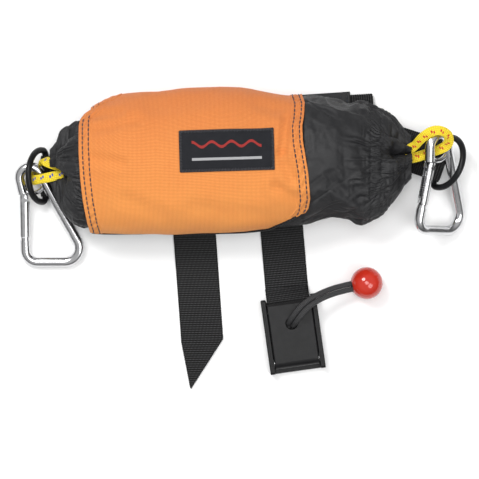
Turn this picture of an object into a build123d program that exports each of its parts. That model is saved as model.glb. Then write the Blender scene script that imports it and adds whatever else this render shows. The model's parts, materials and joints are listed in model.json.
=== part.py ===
from build123d import *
import os
from math import acos, atan2, cos, degrees, pi, radians, sin, tan

# Waist-worn throw rope bag, lying on its back.
# +X runs along the bag, +Y towards its top edge, +Z out of its front; Z = 0 is the table.
# All sizes are in millimetres.

# ---- driving dimensions ----
WEB_WIDTH = 38.0            # belt and tab webbing
WEB_THICK = 1.5
CLOTH = 0.8                 # heavy cordura
SHELL_WALL = 2.0            # packcloth bag with its seam allowance
GAP = 0.1                   # air left between stacked layers

# stuffed bag: each station is (x, centre y, half width, lowest z, highest z)
BAG_STATIONS = [
    (-158, -9, 13, 24, 44),
    (-152, -12, 26, 18, 52),
    (-138, -12, 44, 11, 62),
    (-120, -9, 54, 8.2, 68),
    (-90, -2.5, 61, 6.8, 73),
    (-30, 0, 64, 6.8, 75),
    (40, 0.5, 60.5, 6.8, 74),
    (95, 1, 56, 8.0, 70),
    (122, -1, 49, 10.2, 64),
    (142, 1, 36, 13, 56),
    (154, 3, 21, 19, 49),
    (159, 4, 14, 23, 46),
]
PANEL_LEFT, PANEL_RIGHT = -130.0, 66.0      # ends of the orange front panel
PANEL_LOW = 14.0                            # height where the panel's sides stop
LABEL_SIZE = (81.0, 35.0)
LABEL_CENTRE = (-2.6, 6.8)
LABEL_TILT = 1.7
MOUTH_ELASTIC_X = 127.0                     # elastic channels, left and right of the middle
ELASTIC_R = 1.5
HANK_LEFT, HANK_RIGHT = -140, 143           # the stuffed line inside
HANK_INSET = SHELL_WALL + 5.5

# belt, in its own frame turned by BELT_TILT about the bag's top back
BELT_ORIGIN = (0, 32.5)
BELT_TILT = 3.8
BELT_LEFT, BELT_RIGHT = -125.0, 127.0       # where the belt folds back
SLEEVE_HALF = 108.0
STRAP_OFFSET = 38.5                         # each down strap's middle from the belt frame's middle
TAIL_KNEE, TAIL_CORNER, TAIL_TIP = (-43.4, -161.9), (-6.3, -158.8), (-35.2, -203.3)

# cam buckle
BUCKLE_CENTRE = (56.05, -154.15)
BUCKLE_TURN = 8.0
BUCKLE_WIDTH, BUCKLE_LENGTH = 49.5, 66.7
RAIL_WIDTH, RAIL_HEIGHT = 4.6, 12.5
RAIL_GROOVE = 0.7                           # width and depth of the line along each rail's top
RAIL_EDGE = 0.9
BASE_THICK = 2.8
PIVOT_Y, PIVOT_Z = -23.5, 9.6
PIVOT_R = 1.6
PIVOT_CLEAR = 0.05
PIN_SLOT_WIDTH, PIN_SLOT_LENGTH = 1.5, 7.0
LEVER_WIDTH = 39.6
LEVER_HUB_R = 5.6
LEVER_THICK = 3.2
LEVER_EDGE = 1.0
LEVER_TOP = 14.6
LEVER_FREE_END = 29.0
CORD_HOLE_Y = 9.8
CORD_HOLE_R = 5.6
CROSSBAR_Y, CROSSBAR_R = 28.6, 2.0
CROSSBAR_Z = 4.2

# release cord and ball
CORD_R = 2.4
BALL_R = 14.3
BALL_CENTRE = (121.2, -108.7, 14.4)
BALL_BORE_R = 5.4
KNOT_R, KNOT_HALF_HEIGHT = 6.6, 3.2
KNOT_Z = 6.4
# middle of the doubled cord; its two strands lie side by side
RELEASE_CORD = [
    (54.1, -145.4, 10.9), (56.4, -141.4, 18.8), (60.9, -134.8, 23.8), (67.8, -127.2, 24.6),
    (78.5, -120.6, 22.3), (91.0, -115.6, 18.8), (103.0, -112.6, 16.0), (112.7, -110.6, 14.7),
]
STRAND_OFFSET = 2.45

# carabiners, each in its own plane: x across, y towards the eye, origin at the eye's centre
WIRE_R = 4.5
EYE_R = 9.6
SPINE_ANGLE = 27.9
GATE_X = -5.6
HINGE_Y = -19.5
BASE_Y = -76.2
BASE_LEFT_R, BASE_RIGHT_R = 11.0, 13.2
EYE_BAR_R = 2.2
GATE_END, NOSE_SHOULDER = -33.2, -37.4      # measured from the hinge pin
GATE_WALL = 1.1
GATE_HALF = 4.7
GATE_NOTCH = 2.2                            # its closed side starts this far below the rivet
GATE_SLOT_HALF = 2.7
TAB_HALF, TAB_HALF_THICK = 2.5, 2.1
SHOULDER = 5.4                              # from the rivet to the full-size wire
RIVET_R, RIVET_HEAD_R = 1.3, 2.3
PUSHER_START, PUSHER_END, SPRING_END = 4.0, 8.5, 26.6    # down the gate from its rivet
SPRING_SEAT = 1.0

LEFT_EYE = (-176.7, -15.3)
LEFT_TILT = 11.5                            # narrow end raised off the table
RIGHT_EYE = (182.2, 12.4, 42.6)
RIGHT_ACROSS = (0.773, -0.025, -0.634)
RIGHT_UP = (0.173, 0.977, 0.172)

# webbing D rings: bar centre, bar direction in plan (degrees from +Y), lean above the table
RING_R = 2.75
RING_HALF = 23.0
RING_CORNER = 5.0
LEFT_RING = {"bar": (-164.5, -13.6, 5.2), "turn": 0.0, "side": -1, "lean": 65.0, "crown": 7.0}
RIGHT_RING = {"bar": (186.5, -0.9, 20.2), "turn": -19.5, "side": 1, "lean": 55.0, "crown": 5.5}
TAB_CLEAR = 0.2

# floating line: the parts of it that hold the carabiners
LINE_R = 2.3
LEFT_LINE = [
    (-146, -13, 35), (-157, -15, 35), (-167.5, -17, 31), (-176, -18, 23), (-174.4, -13.6, 12.9),
    (-168, -4.5, 12.4), (-164, 2, 19), (-161.5, -3, 32), (-146, -7, 34.5),
]
RIGHT_LINE = [
    (147, 6, 35), (160, 9, 38.5), (167, 19, 52.5), (179, 26, 58), (190.5, 22, 54),
    (191, 12.5, 47), (182, 8, 41), (172, 5, 35.5), (160, 1, 33), (147, 0, 33),
]


def write(name, shape):
    os.makedirs("parts", exist_ok=True)
    export_step(shape, f"parts/{name}.step")


def cord_path(points):
    """Straight runs joined by arcs that are as large as the runs beside them allow."""
    pts = [Vector(*p) for p in points]
    radii = []
    for before, here, after in zip(pts, pts[1:], pts[2:]):
        run_in, run_out = here - before, after - here
        half_turn = radians(run_in.get_angle(run_out)) / 2
        radii.append(0.45 * min(run_in.length, run_out.length) / tan(half_turn))
    return FilletPolyline(*pts, radius=radii), radii


def tube(points, radius):
    path, radii = cord_path(points)
    section = Plane(path @ 0, z_dir=path % 0) * Circle(radius)
    body = sweep(section, path=path)
    expected = pi * radius**2 * path.length
    print("  length %.1f, radii %s, volume ratio %.3f"
          % (path.length, [round(r, 1) for r in radii], body.volume / expected))
    return body


# ---- stuffed bag ----

def bag_loft(inset, left=None, right=None):
    """Closed body through the bag's stations, each drawn in by inset."""
    sections = []
    for x, cy, half, low, high in BAG_STATIONS:
        if left is not None and not left <= x <= right:
            continue
        plane = Plane((x, cy, (low + high) / 2), x_dir=(0, 1, 0), z_dir=(1, 0, 0))
        sections.append(plane * Ellipse(half - inset, (high - low) / 2 - inset))
    return loft(sections)


def box_between(low, high):
    size = [h - l for l, h in zip(low, high)]
    return Pos(*[(l + h) / 2 for l, h in zip(low, high)]) * Box(*size)


def line_bag():
    return bag_loft(0) - bag_loft(SHELL_WALL)


def front_panel():
    cover = bag_loft(-0.2 - CLOTH) - bag_loft(-0.2)
    return cover & box_between((PANEL_LEFT, -90, PANEL_LOW), (PANEL_RIGHT, 90, 90))


def label_patch():
    patch = bag_loft(-0.2 - CLOTH - 1.1) - bag_loft(-0.2 - CLOTH - 0.1)
    prism = Pos(*LABEL_CENTRE, 70) * Rot(0, 0, LABEL_TILT) * Box(*LABEL_SIZE, 40)
    return patch & prism


def tow_line_hank():
    return bag_loft(HANK_INSET, HANK_LEFT, HANK_RIGHT)


def station_at(x):
    """Centre y, half width, low and high z of the bag at x, between two stations."""
    for a, b in zip(BAG_STATIONS, BAG_STATIONS[1:]):
        if a[0] <= x <= b[0]:
            t = (x - a[0]) / (b[0] - a[0])
            return [p + t * (q - p) for p, q in zip(a[1:], b[1:])]


def mouth_elastic(x):
    cy, half, low, high = station_at(x)
    inset = SHELL_WALL + ELASTIC_R + 0.3
    plane = Plane((x, cy, (low + high) / 2), x_dir=(0, 1, 0), z_dir=(1, 0, 0))
    ring = plane * Ellipse(half - inset, (high - low) / 2 - inset)
    path = ring.edges()[0]
    section = Plane(path @ 0, z_dir=path % 0) * Circle(ELASTIC_R)
    return sweep(section, path=path)


# ---- belt, sleeve and ring tabs ----

BELT_FRAME = Pos(*BELT_ORIGIN, 0) * Rot(0, 0, BELT_TILT)
LAYER = WEB_THICK + GAP
LOW_Z, RETURN_Z = 0.0, LAYER                # underside of the straps and of the return runs
SLEEVE_LOW = 2 * LAYER
BELT_Z = SLEEVE_LOW + CLOTH + GAP           # underside of the belt inside the sleeve
SLEEVE_HIGH = BELT_Z + LAYER + CLOTH


def belt_sleeve():
    outer = box_between((-SLEEVE_HALF, -20.6, SLEEVE_LOW), (SLEEVE_HALF, 20.6, SLEEVE_HIGH))
    inner = box_between((-SLEEVE_HALF - 1, -19.6, SLEEVE_LOW + CLOTH),
                        (SLEEVE_HALF + 1, 19.6, SLEEVE_HIGH - CLOTH))
    return BELT_FRAME * (outer - inner)


def belt_fold(x, side):
    """Half turn that takes the belt from its sleeve down to the return run."""
    top, bottom = BELT_Z + WEB_THICK, RETURN_Z
    middle, outer = (top + bottom) / 2, (top - bottom) / 2
    plane = Plane((x, 0, middle), x_dir=(1, 0, 0), z_dir=(0, -1, 0))
    ring = Circle(outer) - Circle(outer - WEB_THICK)
    half = ring & (Pos(side * outer, 0) * Rectangle(2 * outer, 4 * outer))
    return extrude(plane * half, amount=WEB_WIDTH / 2, both=True)


def waist_belt():
    half = WEB_WIDTH / 2
    run = box_between((BELT_LEFT, -half, BELT_Z), (BELT_RIGHT, half, BELT_Z + WEB_THICK))
    belt = run + belt_fold(BELT_LEFT, -1) + belt_fold(BELT_RIGHT, 1)
    for end, side in ((BELT_LEFT, -1), (BELT_RIGHT, 1)):
        inner, outer = side * (STRAP_OFFSET - half), side * (STRAP_OFFSET + half)
        corner = Polyline((end, -half), (end, half), (inner, half), (outer, -half), close=True)
        belt += Pos(0, 0, RETURN_Z) * extrude(make_face(corner), amount=WEB_THICK)
        fold = Polyline((inner, half), (outer, -half), (inner, -half), close=True)
        belt += Pos(0, 0, LOW_Z) * extrude(make_face(fold), amount=RETURN_Z + WEB_THICK)
    belt = BELT_FRAME * belt

    def on_belt(x, y):
        return tuple((BELT_FRAME * Pos(x, y, 0)).position)[:2]

    left = -STRAP_OFFSET
    tail = Polyline(on_belt(left - half, -half), on_belt(left + half, -half),
                    TAIL_CORNER, TAIL_TIP, TAIL_KNEE, close=True)
    belt += extrude(make_face(tail), amount=WEB_THICK)

    # the other strap runs down to the buckle and is sewn round its crossbar
    right = STRAP_OFFSET
    bar_left = tuple((BUCKLE * Pos(-half, CROSSBAR_Y + 9, 0)).position)[:2]
    bar_right = tuple((BUCKLE * Pos(half, CROSSBAR_Y + 9, 0)).position)[:2]
    strap = Polyline(on_belt(right - half, -half), bar_left, bar_right,
                     on_belt(right + half, -half), close=True)
    belt += extrude(make_face(strap), amount=WEB_THICK)
    return belt + BUCKLE * crossbar_loop()


def crossbar_loop():
    """Webbing from the flat strap up and round the buckle's crossbar, in the buckle's frame."""
    inner = CROSSBAR_R + 0.15
    outer = inner + WEB_THICK
    far = CROSSBAR_Y + 9.0
    ring = Pos(CROSSBAR_Y, CROSSBAR_Z) * (Circle(outer) - Circle(inner))
    tail = make_face(Polyline((far + 4, 0), (far - 0.2, 0), (CROSSBAR_Y + 2.2, CROSSBAR_Z - outer + 0.7),
                              (CROSSBAR_Y + 2.2, CROSSBAR_Z + outer - 0.7), (far + 4, 2 * WEB_THICK),
                              close=True))
    profile = ring + (tail - Pos(CROSSBAR_Y, CROSSBAR_Z) * Circle(inner))
    side_view = Plane((0, 0, 0), x_dir=(0, 1, 0), z_dir=(1, 0, 0))
    return extrude(side_view * profile, amount=WEB_WIDTH / 2, both=True)


def ring_tab(ring, tail):
    """Webbing wrapped round the ring's bar, with its doubled tail leading under the bag.

    tail lists points (distance from the bar, z of the doubled webbing's middle)."""
    bar = Vector(*ring["bar"])
    inner = RING_R + TAB_CLEAR
    outer = inner + WEB_THICK
    towards_bag = Vector(-ring["side"], 0, 0).rotate(Axis.Z, ring["turn"])
    along = towards_bag.cross(Vector(0, 0, 1))
    plane = Plane(bar, x_dir=towards_bag, z_dir=along)
    points = [(0, 0)] + [(d, (z - bar.Z)) for d, z in tail]
    upper = [(x, y + WEB_THICK) for x, y in points]
    lower = [(x, y - WEB_THICK) for x, y in points]
    strip = make_face(Polyline(*upper, *reversed(lower), close=True))
    flip = 1 if (plane.y_dir.Z > 0) else -1
    if flip < 0:
        strip = mirror(strip, about=Plane.XZ)
    profile = (Circle(outer) + strip) - Circle(inner)
    width = WEB_WIDTH - 2
    return extrude(plane * profile, amount=width / 2, both=True)


# ---- cam buckle ----

BUCKLE = Pos(*BUCKLE_CENTRE, 0) * Rot(0, 0, BUCKLE_TURN)
BUCKLE_SIDE = Plane((0, 0, 0), x_dir=(0, 1, 0), z_dir=(1, 0, 0))      # y-z view of the buckle


def buckle_frame():
    half_w, half_l = BUCKLE_WIDTH / 2, BUCKLE_LENGTH / 2
    base = box_between((-half_w + 0.5, -half_l, 0.3), (half_w - 0.5, 20, BASE_THICK))
    rail_side = make_face(Polyline((-half_l, 0), (half_l, 0), (half_l, RAIL_HEIGHT),
                                   (-half_l, RAIL_HEIGHT), close=True))
    rail = extrude(BUCKLE_SIDE * rail_side, amount=RAIL_WIDTH / 2, both=True)
    rail = fillet(rail.edges().filter_by(Axis.X), 2.2)
    top = rail.faces().sort_by(Axis.Z)[-1]
    rail = fillet(top.edges().filter_by(Axis.Y), RAIL_EDGE)
    rail -= Pos(0, 0, RAIL_HEIGHT) * Box(RAIL_GROOVE, BUCKLE_LENGTH - 6, 2 * RAIL_GROOVE)
    frame = base
    for side in (-1, 1):
        frame += Pos(side * (half_w - RAIL_WIDTH / 2), 0, 0) * rail
    bar = Rot(0, 90, 0) * Cylinder(CROSSBAR_R, BUCKLE_WIDTH - 2)
    frame += Pos(0, CROSSBAR_Y, CROSSBAR_Z) * bar
    # a slot above each end of the pin, open to the rail's top and inner side
    for side in (-1, 1):
        inside = side * (half_w - RAIL_WIDTH + PIN_SLOT_WIDTH / 2)
        frame -= Pos(inside, PIVOT_Y, RAIL_HEIGHT) * Box(PIN_SLOT_WIDTH, PIN_SLOT_LENGTH, 2.4)
    pin_hole = Pos(0, PIVOT_Y, PIVOT_Z) * Rot(0, 90, 0) * Cylinder(PIVOT_R, BUCKLE_WIDTH + 2)
    return BUCKLE * (frame - pin_hole)


def buckle_pin():
    return BUCKLE * Pos(0, PIVOT_Y, PIVOT_Z) * Rot(0, 90, 0) * Cylinder(PIVOT_R, BUCKLE_WIDTH - 0.6)


def cam_lever():
    """Cover plate with its hub and the toothed cam that presses on the webbing."""
    arm = make_face(Polyline((PIVOT_Y, PIVOT_Z + LEVER_HUB_R - 2.2),
                             (LEVER_FREE_END, LEVER_TOP - LEVER_THICK),
                             (LEVER_FREE_END, LEVER_TOP - 1), (LEVER_FREE_END - 2, LEVER_TOP),
                             (PIVOT_Y, PIVOT_Z + LEVER_HUB_R), close=True))
    hub = Pos(PIVOT_Y, PIVOT_Z) * Circle(LEVER_HUB_R)
    profile = arm + hub
    lever = extrude(BUCKLE_SIDE * profile, amount=LEVER_WIDTH / 2, both=True)
    plate_top = lever.faces().filter_by(GeomType.PLANE).sort_by(SortBy.AREA)[-2:].sort_by(Axis.Z)[-1]
    lever = fillet(plate_top.edges().filter_by_position(Axis.X, -99, -LEVER_WIDTH / 2 + 0.1)
                   + plate_top.edges().filter_by_position(Axis.X, LEVER_WIDTH / 2 - 0.1, 99), LEVER_EDGE)
    # rows of teeth across the cam, facing the base plate
    for turn in range(-20, 45, 13):
        reach = LEVER_HUB_R - 0.3
        place = Pos(0, PIVOT_Y, PIVOT_Z) * Rot(turn, 0, 0) * Pos(0, 0, -reach)
        lever += place * Rot(45, 0, 0) * Box(LEVER_WIDTH - 4, 0.9, 0.9)
    lever -= Pos(0, PIVOT_Y, PIVOT_Z) * Rot(0, 90, 0) * Cylinder(PIVOT_R + PIVOT_CLEAR, LEVER_WIDTH + 2)
    lever -= Pos(0, CORD_HOLE_Y, LEVER_TOP) * Cylinder(CORD_HOLE_R, 20)
    return BUCKLE * lever


def strand_route(side):
    """Route of one strand: the doubled cord's middle shifted sideways in plan."""
    pts = [Vector(*p) for p in RELEASE_CORD]
    route = []
    for i, here in enumerate(pts):
        along = pts[min(i + 1, len(pts) - 1)] - pts[max(i - 1, 0)]
        across = Vector(-along.Y, along.X, 0).normalized()
        route.append(tuple(here + across * side * STRAND_OFFSET))
    return route


def release_ball():
    centre, entry = Vector(*BALL_CENTRE), Vector(*RELEASE_CORD[-1])
    outward = (Vector(*RELEASE_CORD[-2]) - entry).normalized()
    bore = Plane(entry, z_dir=outward) * extrude(Circle(BALL_BORE_R), amount=20)
    return Pos(centre) * Sphere(BALL_R) - bore


def release_knot():
    x, y = tuple((BUCKLE * Pos(0, CORD_HOLE_Y, 0)).position)[:2]
    knot = Sphere(KNOT_R)
    return Pos(x, y, KNOT_Z) * scale(knot, by=(1, 1, KNOT_HALF_HEIGHT / KNOT_R))


# ---- carabiners ----

def carabiner_plane(eye, across, up):
    across = Vector(*across).normalized()
    up = Vector(*up)
    normal = across.cross(up).normalized()
    return Plane(eye, x_dir=across, z_dir=normal)


def left_plane():
    tilt = radians(LEFT_TILT)
    eye = (*LEFT_EYE, WIRE_R - BASE_Y * sin(tilt))
    return carabiner_plane(eye, (1, 0, 0), (0, cos(tilt), sin(tilt)))


def right_plane():
    return carabiner_plane(RIGHT_EYE, RIGHT_ACROSS, RIGHT_UP)


def carabiner_path():
    """Wire centreline from the nose round the base, up the spine and over the eye to the hinge."""
    spine = radians(SPINE_ANGLE)
    meet = (EYE_R * cos(spine), EYE_R * sin(spine))
    corner_x = meet[0] + (meet[1] - BASE_Y) * tan(spine)
    base = FilletPolyline((GATE_X, HINGE_Y + NOSE_SHOULDER), (GATE_X, BASE_Y), (corner_x, BASE_Y), meet,
                          radius=[BASE_LEFT_R, BASE_RIGHT_R])
    reach = (GATE_X**2 + HINGE_Y**2) ** 0.5
    leave = radians(360) + atan2(HINGE_Y, GATE_X) - acos(EYE_R / reach)
    end = (EYE_R * cos(leave), EYE_R * sin(leave))
    over = ThreePointArc(meet, (EYE_R * cos(radians(100)), EYE_R * sin(radians(100))), end)
    back = SHOULDER / ((GATE_X - end[0]) ** 2 + (HINGE_Y - end[1]) ** 2) ** 0.5
    shoulder = (GATE_X + (end[0] - GATE_X) * back, HINGE_Y + (end[1] - HINGE_Y) * back)
    return base + over + Line(end, shoulder), shoulder


def carabiner_body():
    path, shoulder = carabiner_path()
    wire = Wire(path.edges())
    section = Plane(wire @ 0, z_dir=wire % 0) * Circle(WIRE_R)
    body = sweep(section, path=wire)
    # flattened hinge tab, rounded about the rivet
    pin = Vector(GATE_X, HINGE_Y)
    lean = degrees(atan2(shoulder[0] - pin.X, shoulder[1] - pin.Y))
    tab = Pos(0, 3.5) * Rectangle(2 * TAB_HALF, 7) + Circle(TAB_HALF)
    tab = Pos(pin.X, pin.Y) * Rot(0, 0, -lean) * extrude(tab, amount=TAB_HALF_THICK, both=True)
    body += tab
    # reduced nose and the tongue that the closed gate covers
    nose_y = HINGE_Y + NOSE_SHOULDER
    body += Pos(GATE_X, nose_y + 1.5, 0) * Rot(90, 0, 0) * Cylinder(WIRE_R - 0.5, 3.6)
    body += Pos(GATE_X, nose_y + 5, 0) * Box(4.4, 8, 4.8)
    # bar that closes the eye
    eye_bar = ThreePointArc((-8.4, -7.0), (2.2, -13.6), (12.4, -5.4))
    section = Plane(eye_bar @ 0, z_dir=eye_bar % 0) * Circle(EYE_BAR_R)
    body += sweep(section, path=eye_bar)
    body -= Pos(pin.X, pin.Y) * Cylinder(RIVET_R, 12)
    return body


def gate():
    """Round pressed gate, slotted along its outer side and rounded about its rivet."""
    slot = Pos(-GATE_HALF, 0) * Rectangle(GATE_HALF, 2 * GATE_SLOT_HALF)
    profile = Circle(GATE_HALF) - Circle(GATE_HALF - GATE_WALL) - slot
    across = Plane((GATE_X, HINGE_Y + GATE_HALF, 0), x_dir=(1, 0, 0), z_dir=(0, -1, 0))
    channel = extrude(across * profile, amount=GATE_HALF - GATE_END)
    below = Pos(GATE_X, HINGE_Y - 25, 0) * Box(12, 50, 12)
    round_end = Pos(GATE_X, HINGE_Y) * Cylinder(GATE_HALF, 12)
    channel = channel & (below + round_end)
    seat = Rot(90, 0, 0) * Cylinder(GATE_HALF - GATE_WALL + 0.1, SPRING_SEAT)
    channel += Pos(GATE_X, HINGE_Y - SPRING_END - SPRING_SEAT / 2, 0) * seat
    # the channel's closed side stops short of the hinge tab, so the gate can swing in
    notch = Box(4, 10, 2 * (GATE_HALF - GATE_WALL))
    channel -= Pos(GATE_X + GATE_HALF, HINGE_Y + 5 - GATE_NOTCH, 0) * notch
    return channel - Pos(GATE_X, HINGE_Y) * Cylinder(RIVET_R + PIVOT_CLEAR, 12)


def gate_pin():
    pin = Cylinder(RIVET_R, 2 * GATE_HALF + 0.2)
    for side in (-1, 1):
        pin += Pos(0, 0, side * (GATE_HALF + 0.5)) * Cylinder(RIVET_HEAD_R, 0.8)
    return Pos(GATE_X, HINGE_Y) * pin


def gate_pusher():
    length = PUSHER_END - PUSHER_START
    return Pos(GATE_X - 0.2, HINGE_Y - PUSHER_START - length / 2, 0) * Rot(90, 0, 0) * Cylinder(2.3, length)


def gate_spring():
    length = SPRING_END - PUSHER_END
    coil = Cylinder(2.5, length) - Cylinder(1.7, length + 1)
    return Pos(GATE_X - 0.2, HINGE_Y - PUSHER_END - length / 2, 0) * Rot(90, 0, 0) * coil


def ring_plane(ring):
    """Plane of a D ring: x along its bar, y out to the crown."""
    out = Vector(ring["side"], 0, 0).rotate(Axis.Z, ring["turn"])
    lean = radians(ring["lean"])
    out = out * cos(lean) + Vector(0, 0, 1) * sin(lean)
    bar = Vector(0, 1, 0).rotate(Axis.Z, ring["turn"])
    return Plane(ring["bar"], x_dir=bar, z_dir=bar.cross(out))


def d_ring(ring):
    """Moulded ring: straight bar, short sides and a half-round crown."""
    half, corner, crown = RING_HALF, RING_CORNER, ring["crown"]
    path = Line((-half + corner, 0), (half - corner, 0))
    path += RadiusArc((half - corner, 0), (half, corner), -corner)
    path += Line((half, corner), (half, crown))
    path += ThreePointArc((half, crown), (0, crown + half), (-half, crown))
    path += Line((-half, crown), (-half, corner))
    path += RadiusArc((-half, corner), (-half + corner, 0), -corner)
    wire = Wire(path.edges())
    section = Plane(wire @ 0, z_dir=wire % 0) * Circle(RING_R)
    return ring_plane(ring) * sweep(section, path=wire)


# ---- write every piece ----

write("line_bag", line_bag())
write("front_panel", front_panel())
write("label_patch", label_patch())
write("tow_line_hank", tow_line_hank())
write("left_mouth_elastic", mouth_elastic(-MOUTH_ELASTIC_X))
write("right_mouth_elastic", mouth_elastic(MOUTH_ELASTIC_X))
write("belt_sleeve", belt_sleeve())
write("waist_belt", waist_belt())
write("left_ring_tab", ring_tab(LEFT_RING, [(30, 5.6), (60, 5.6)]))
write("right_ring_tab", ring_tab(RIGHT_RING, [(40, 8.2), (68, 7.8)]))
write("buckle_frame", buckle_frame())
write("buckle_pin", buckle_pin())
write("cam_lever", cam_lever())

for side, plane in (("left", left_plane()), ("right", right_plane())):
    write(f"{side}_carabiner_body", plane * carabiner_body())
    write(f"{side}_gate", plane * gate())
    write(f"{side}_gate_pin", plane * gate_pin())
    write(f"{side}_gate_pusher", plane * gate_pusher())
    write(f"{side}_gate_spring", plane * gate_spring())
write("left_d_ring", d_ring(LEFT_RING))
write("right_d_ring", d_ring(RIGHT_RING))

write("release_ball", release_ball())
write("release_knot", release_knot())
for name, side in (("near", -1), ("far", 1)):
    print("release cord", name)
    write(f"release_cord_{name}", tube(strand_route(side), CORD_R))

print("left line loop")
write("left_line_loop", tube(LEFT_LINE, LINE_R))
print("right line loop")
write("right_line_loop", tube(RIGHT_LINE, LINE_R))
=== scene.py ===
import json
from math import cos, exp, pi, radians, sin

import bmesh
import bpy
import numpy as np
from mathutils import Matrix, Vector, noise


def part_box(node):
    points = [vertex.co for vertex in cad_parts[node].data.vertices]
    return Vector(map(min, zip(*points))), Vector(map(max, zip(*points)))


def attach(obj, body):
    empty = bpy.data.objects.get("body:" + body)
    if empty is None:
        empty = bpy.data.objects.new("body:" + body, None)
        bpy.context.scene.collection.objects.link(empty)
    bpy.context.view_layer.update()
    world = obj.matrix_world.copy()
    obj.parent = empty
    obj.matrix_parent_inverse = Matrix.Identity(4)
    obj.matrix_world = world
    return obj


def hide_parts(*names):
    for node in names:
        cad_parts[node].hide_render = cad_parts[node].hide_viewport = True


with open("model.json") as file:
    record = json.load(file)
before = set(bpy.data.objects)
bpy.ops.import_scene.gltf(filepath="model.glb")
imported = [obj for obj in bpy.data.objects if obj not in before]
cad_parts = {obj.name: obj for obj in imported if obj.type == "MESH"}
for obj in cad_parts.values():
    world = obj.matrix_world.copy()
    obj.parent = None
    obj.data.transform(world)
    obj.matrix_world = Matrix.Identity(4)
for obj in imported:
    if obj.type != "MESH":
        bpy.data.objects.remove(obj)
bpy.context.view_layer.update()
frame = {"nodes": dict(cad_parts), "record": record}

NODES = frame["nodes"]
ROOT = "throw_bag"
UP = (0, 0, 1)
RIB_PITCH = 0.0020              # from rib to rib of the belt's webbing


# ---- camera, floor, light

CAMERA = (0.0084, -0.070, 2.03)        # straight above the bag, its top edge towards the picture's top
LENS, SENSOR = 170.8, 36
FLOOR_HALF, FLOOR_DROP = 3.0, 0.0004
SKY = [(0.12, 0.10), (0.75, 1.0)]      # (height, grey): a dark horizon darkens the edges of polished wire
SKY_STRENGTH = 0.55
# name, place, target, disk's width, power
LAMPS = [("key", (-0.45, 0.55, 1.1), (0, -0.03, 0), 0.55, 11.0),
         ("fill", (0.6, -0.5, 1.1), (0, -0.03, 0), 0.7, 5.5),
         ("top", (0.05, 0.0, 1.7), (0, -0.05, 0), 0.8, 9.0)]


def put(name, data, place=(0, 0, 0)):
    """A new object in the scene."""
    obj = bpy.data.objects.new(name, data)
    obj.location = place
    bpy.context.collection.objects.link(obj)
    return obj


def studio():
    """Camera, three disk lamps, a white floor and a sky that darkens towards the horizon."""
    data = bpy.data.cameras.new("camera")
    data.lens, data.sensor_width, data.clip_end = LENS, SENSOR, 10
    bpy.context.scene.camera = put("camera", data, CAMERA)
    bpy.context.scene.view_settings.view_transform = "Standard"
    for name, place, target, size, power in LAMPS:
        data = bpy.data.lights.new(name, "AREA")
        data.shape, data.size, data.energy = "DISK", size, power
        aim = (Vector(target) - Vector(place)).to_track_quat("-Z", "Y")
        put(name, data, place).rotation_euler = aim.to_euler()
    mesh = bpy.data.meshes.new("floor")
    corners = [(-1, -1), (1, -1), (1, 1), (-1, 1)]
    mesh.from_pydata([(FLOOR_HALF * x, FLOOR_HALF * y, 0) for x, y in corners], [], [(0, 1, 2, 3)])
    mesh.materials.append(Shader("floor_white", (0.93, 0.93, 0.93), 0.9, Specular_IOR_Level=0.1).mat)
    put("floor", mesh, (0, 0, -FLOOR_DROP))
    world = bpy.data.worlds.new("studio")
    bpy.context.scene.world = world
    world.use_nodes = True
    nodes, links = world.node_tree.nodes, world.node_tree.links
    height = nodes.new("ShaderNodeSeparateXYZ")
    links.new(nodes.new("ShaderNodeTexCoord").outputs["Generated"], height.inputs[0])
    ramp = nodes.new("ShaderNodeValToRGB")
    links.new(height.outputs[2], ramp.inputs["Fac"])
    for element, (place, grey) in zip(ramp.color_ramp.elements, SKY):
        element.position = place
        element.color = (grey, grey, grey, 1)
    links.new(ramp.outputs["Color"], nodes["Background"].inputs["Color"])
    nodes["Background"].inputs["Strength"].default_value = SKY_STRENGTH


# ---- materials

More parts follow.
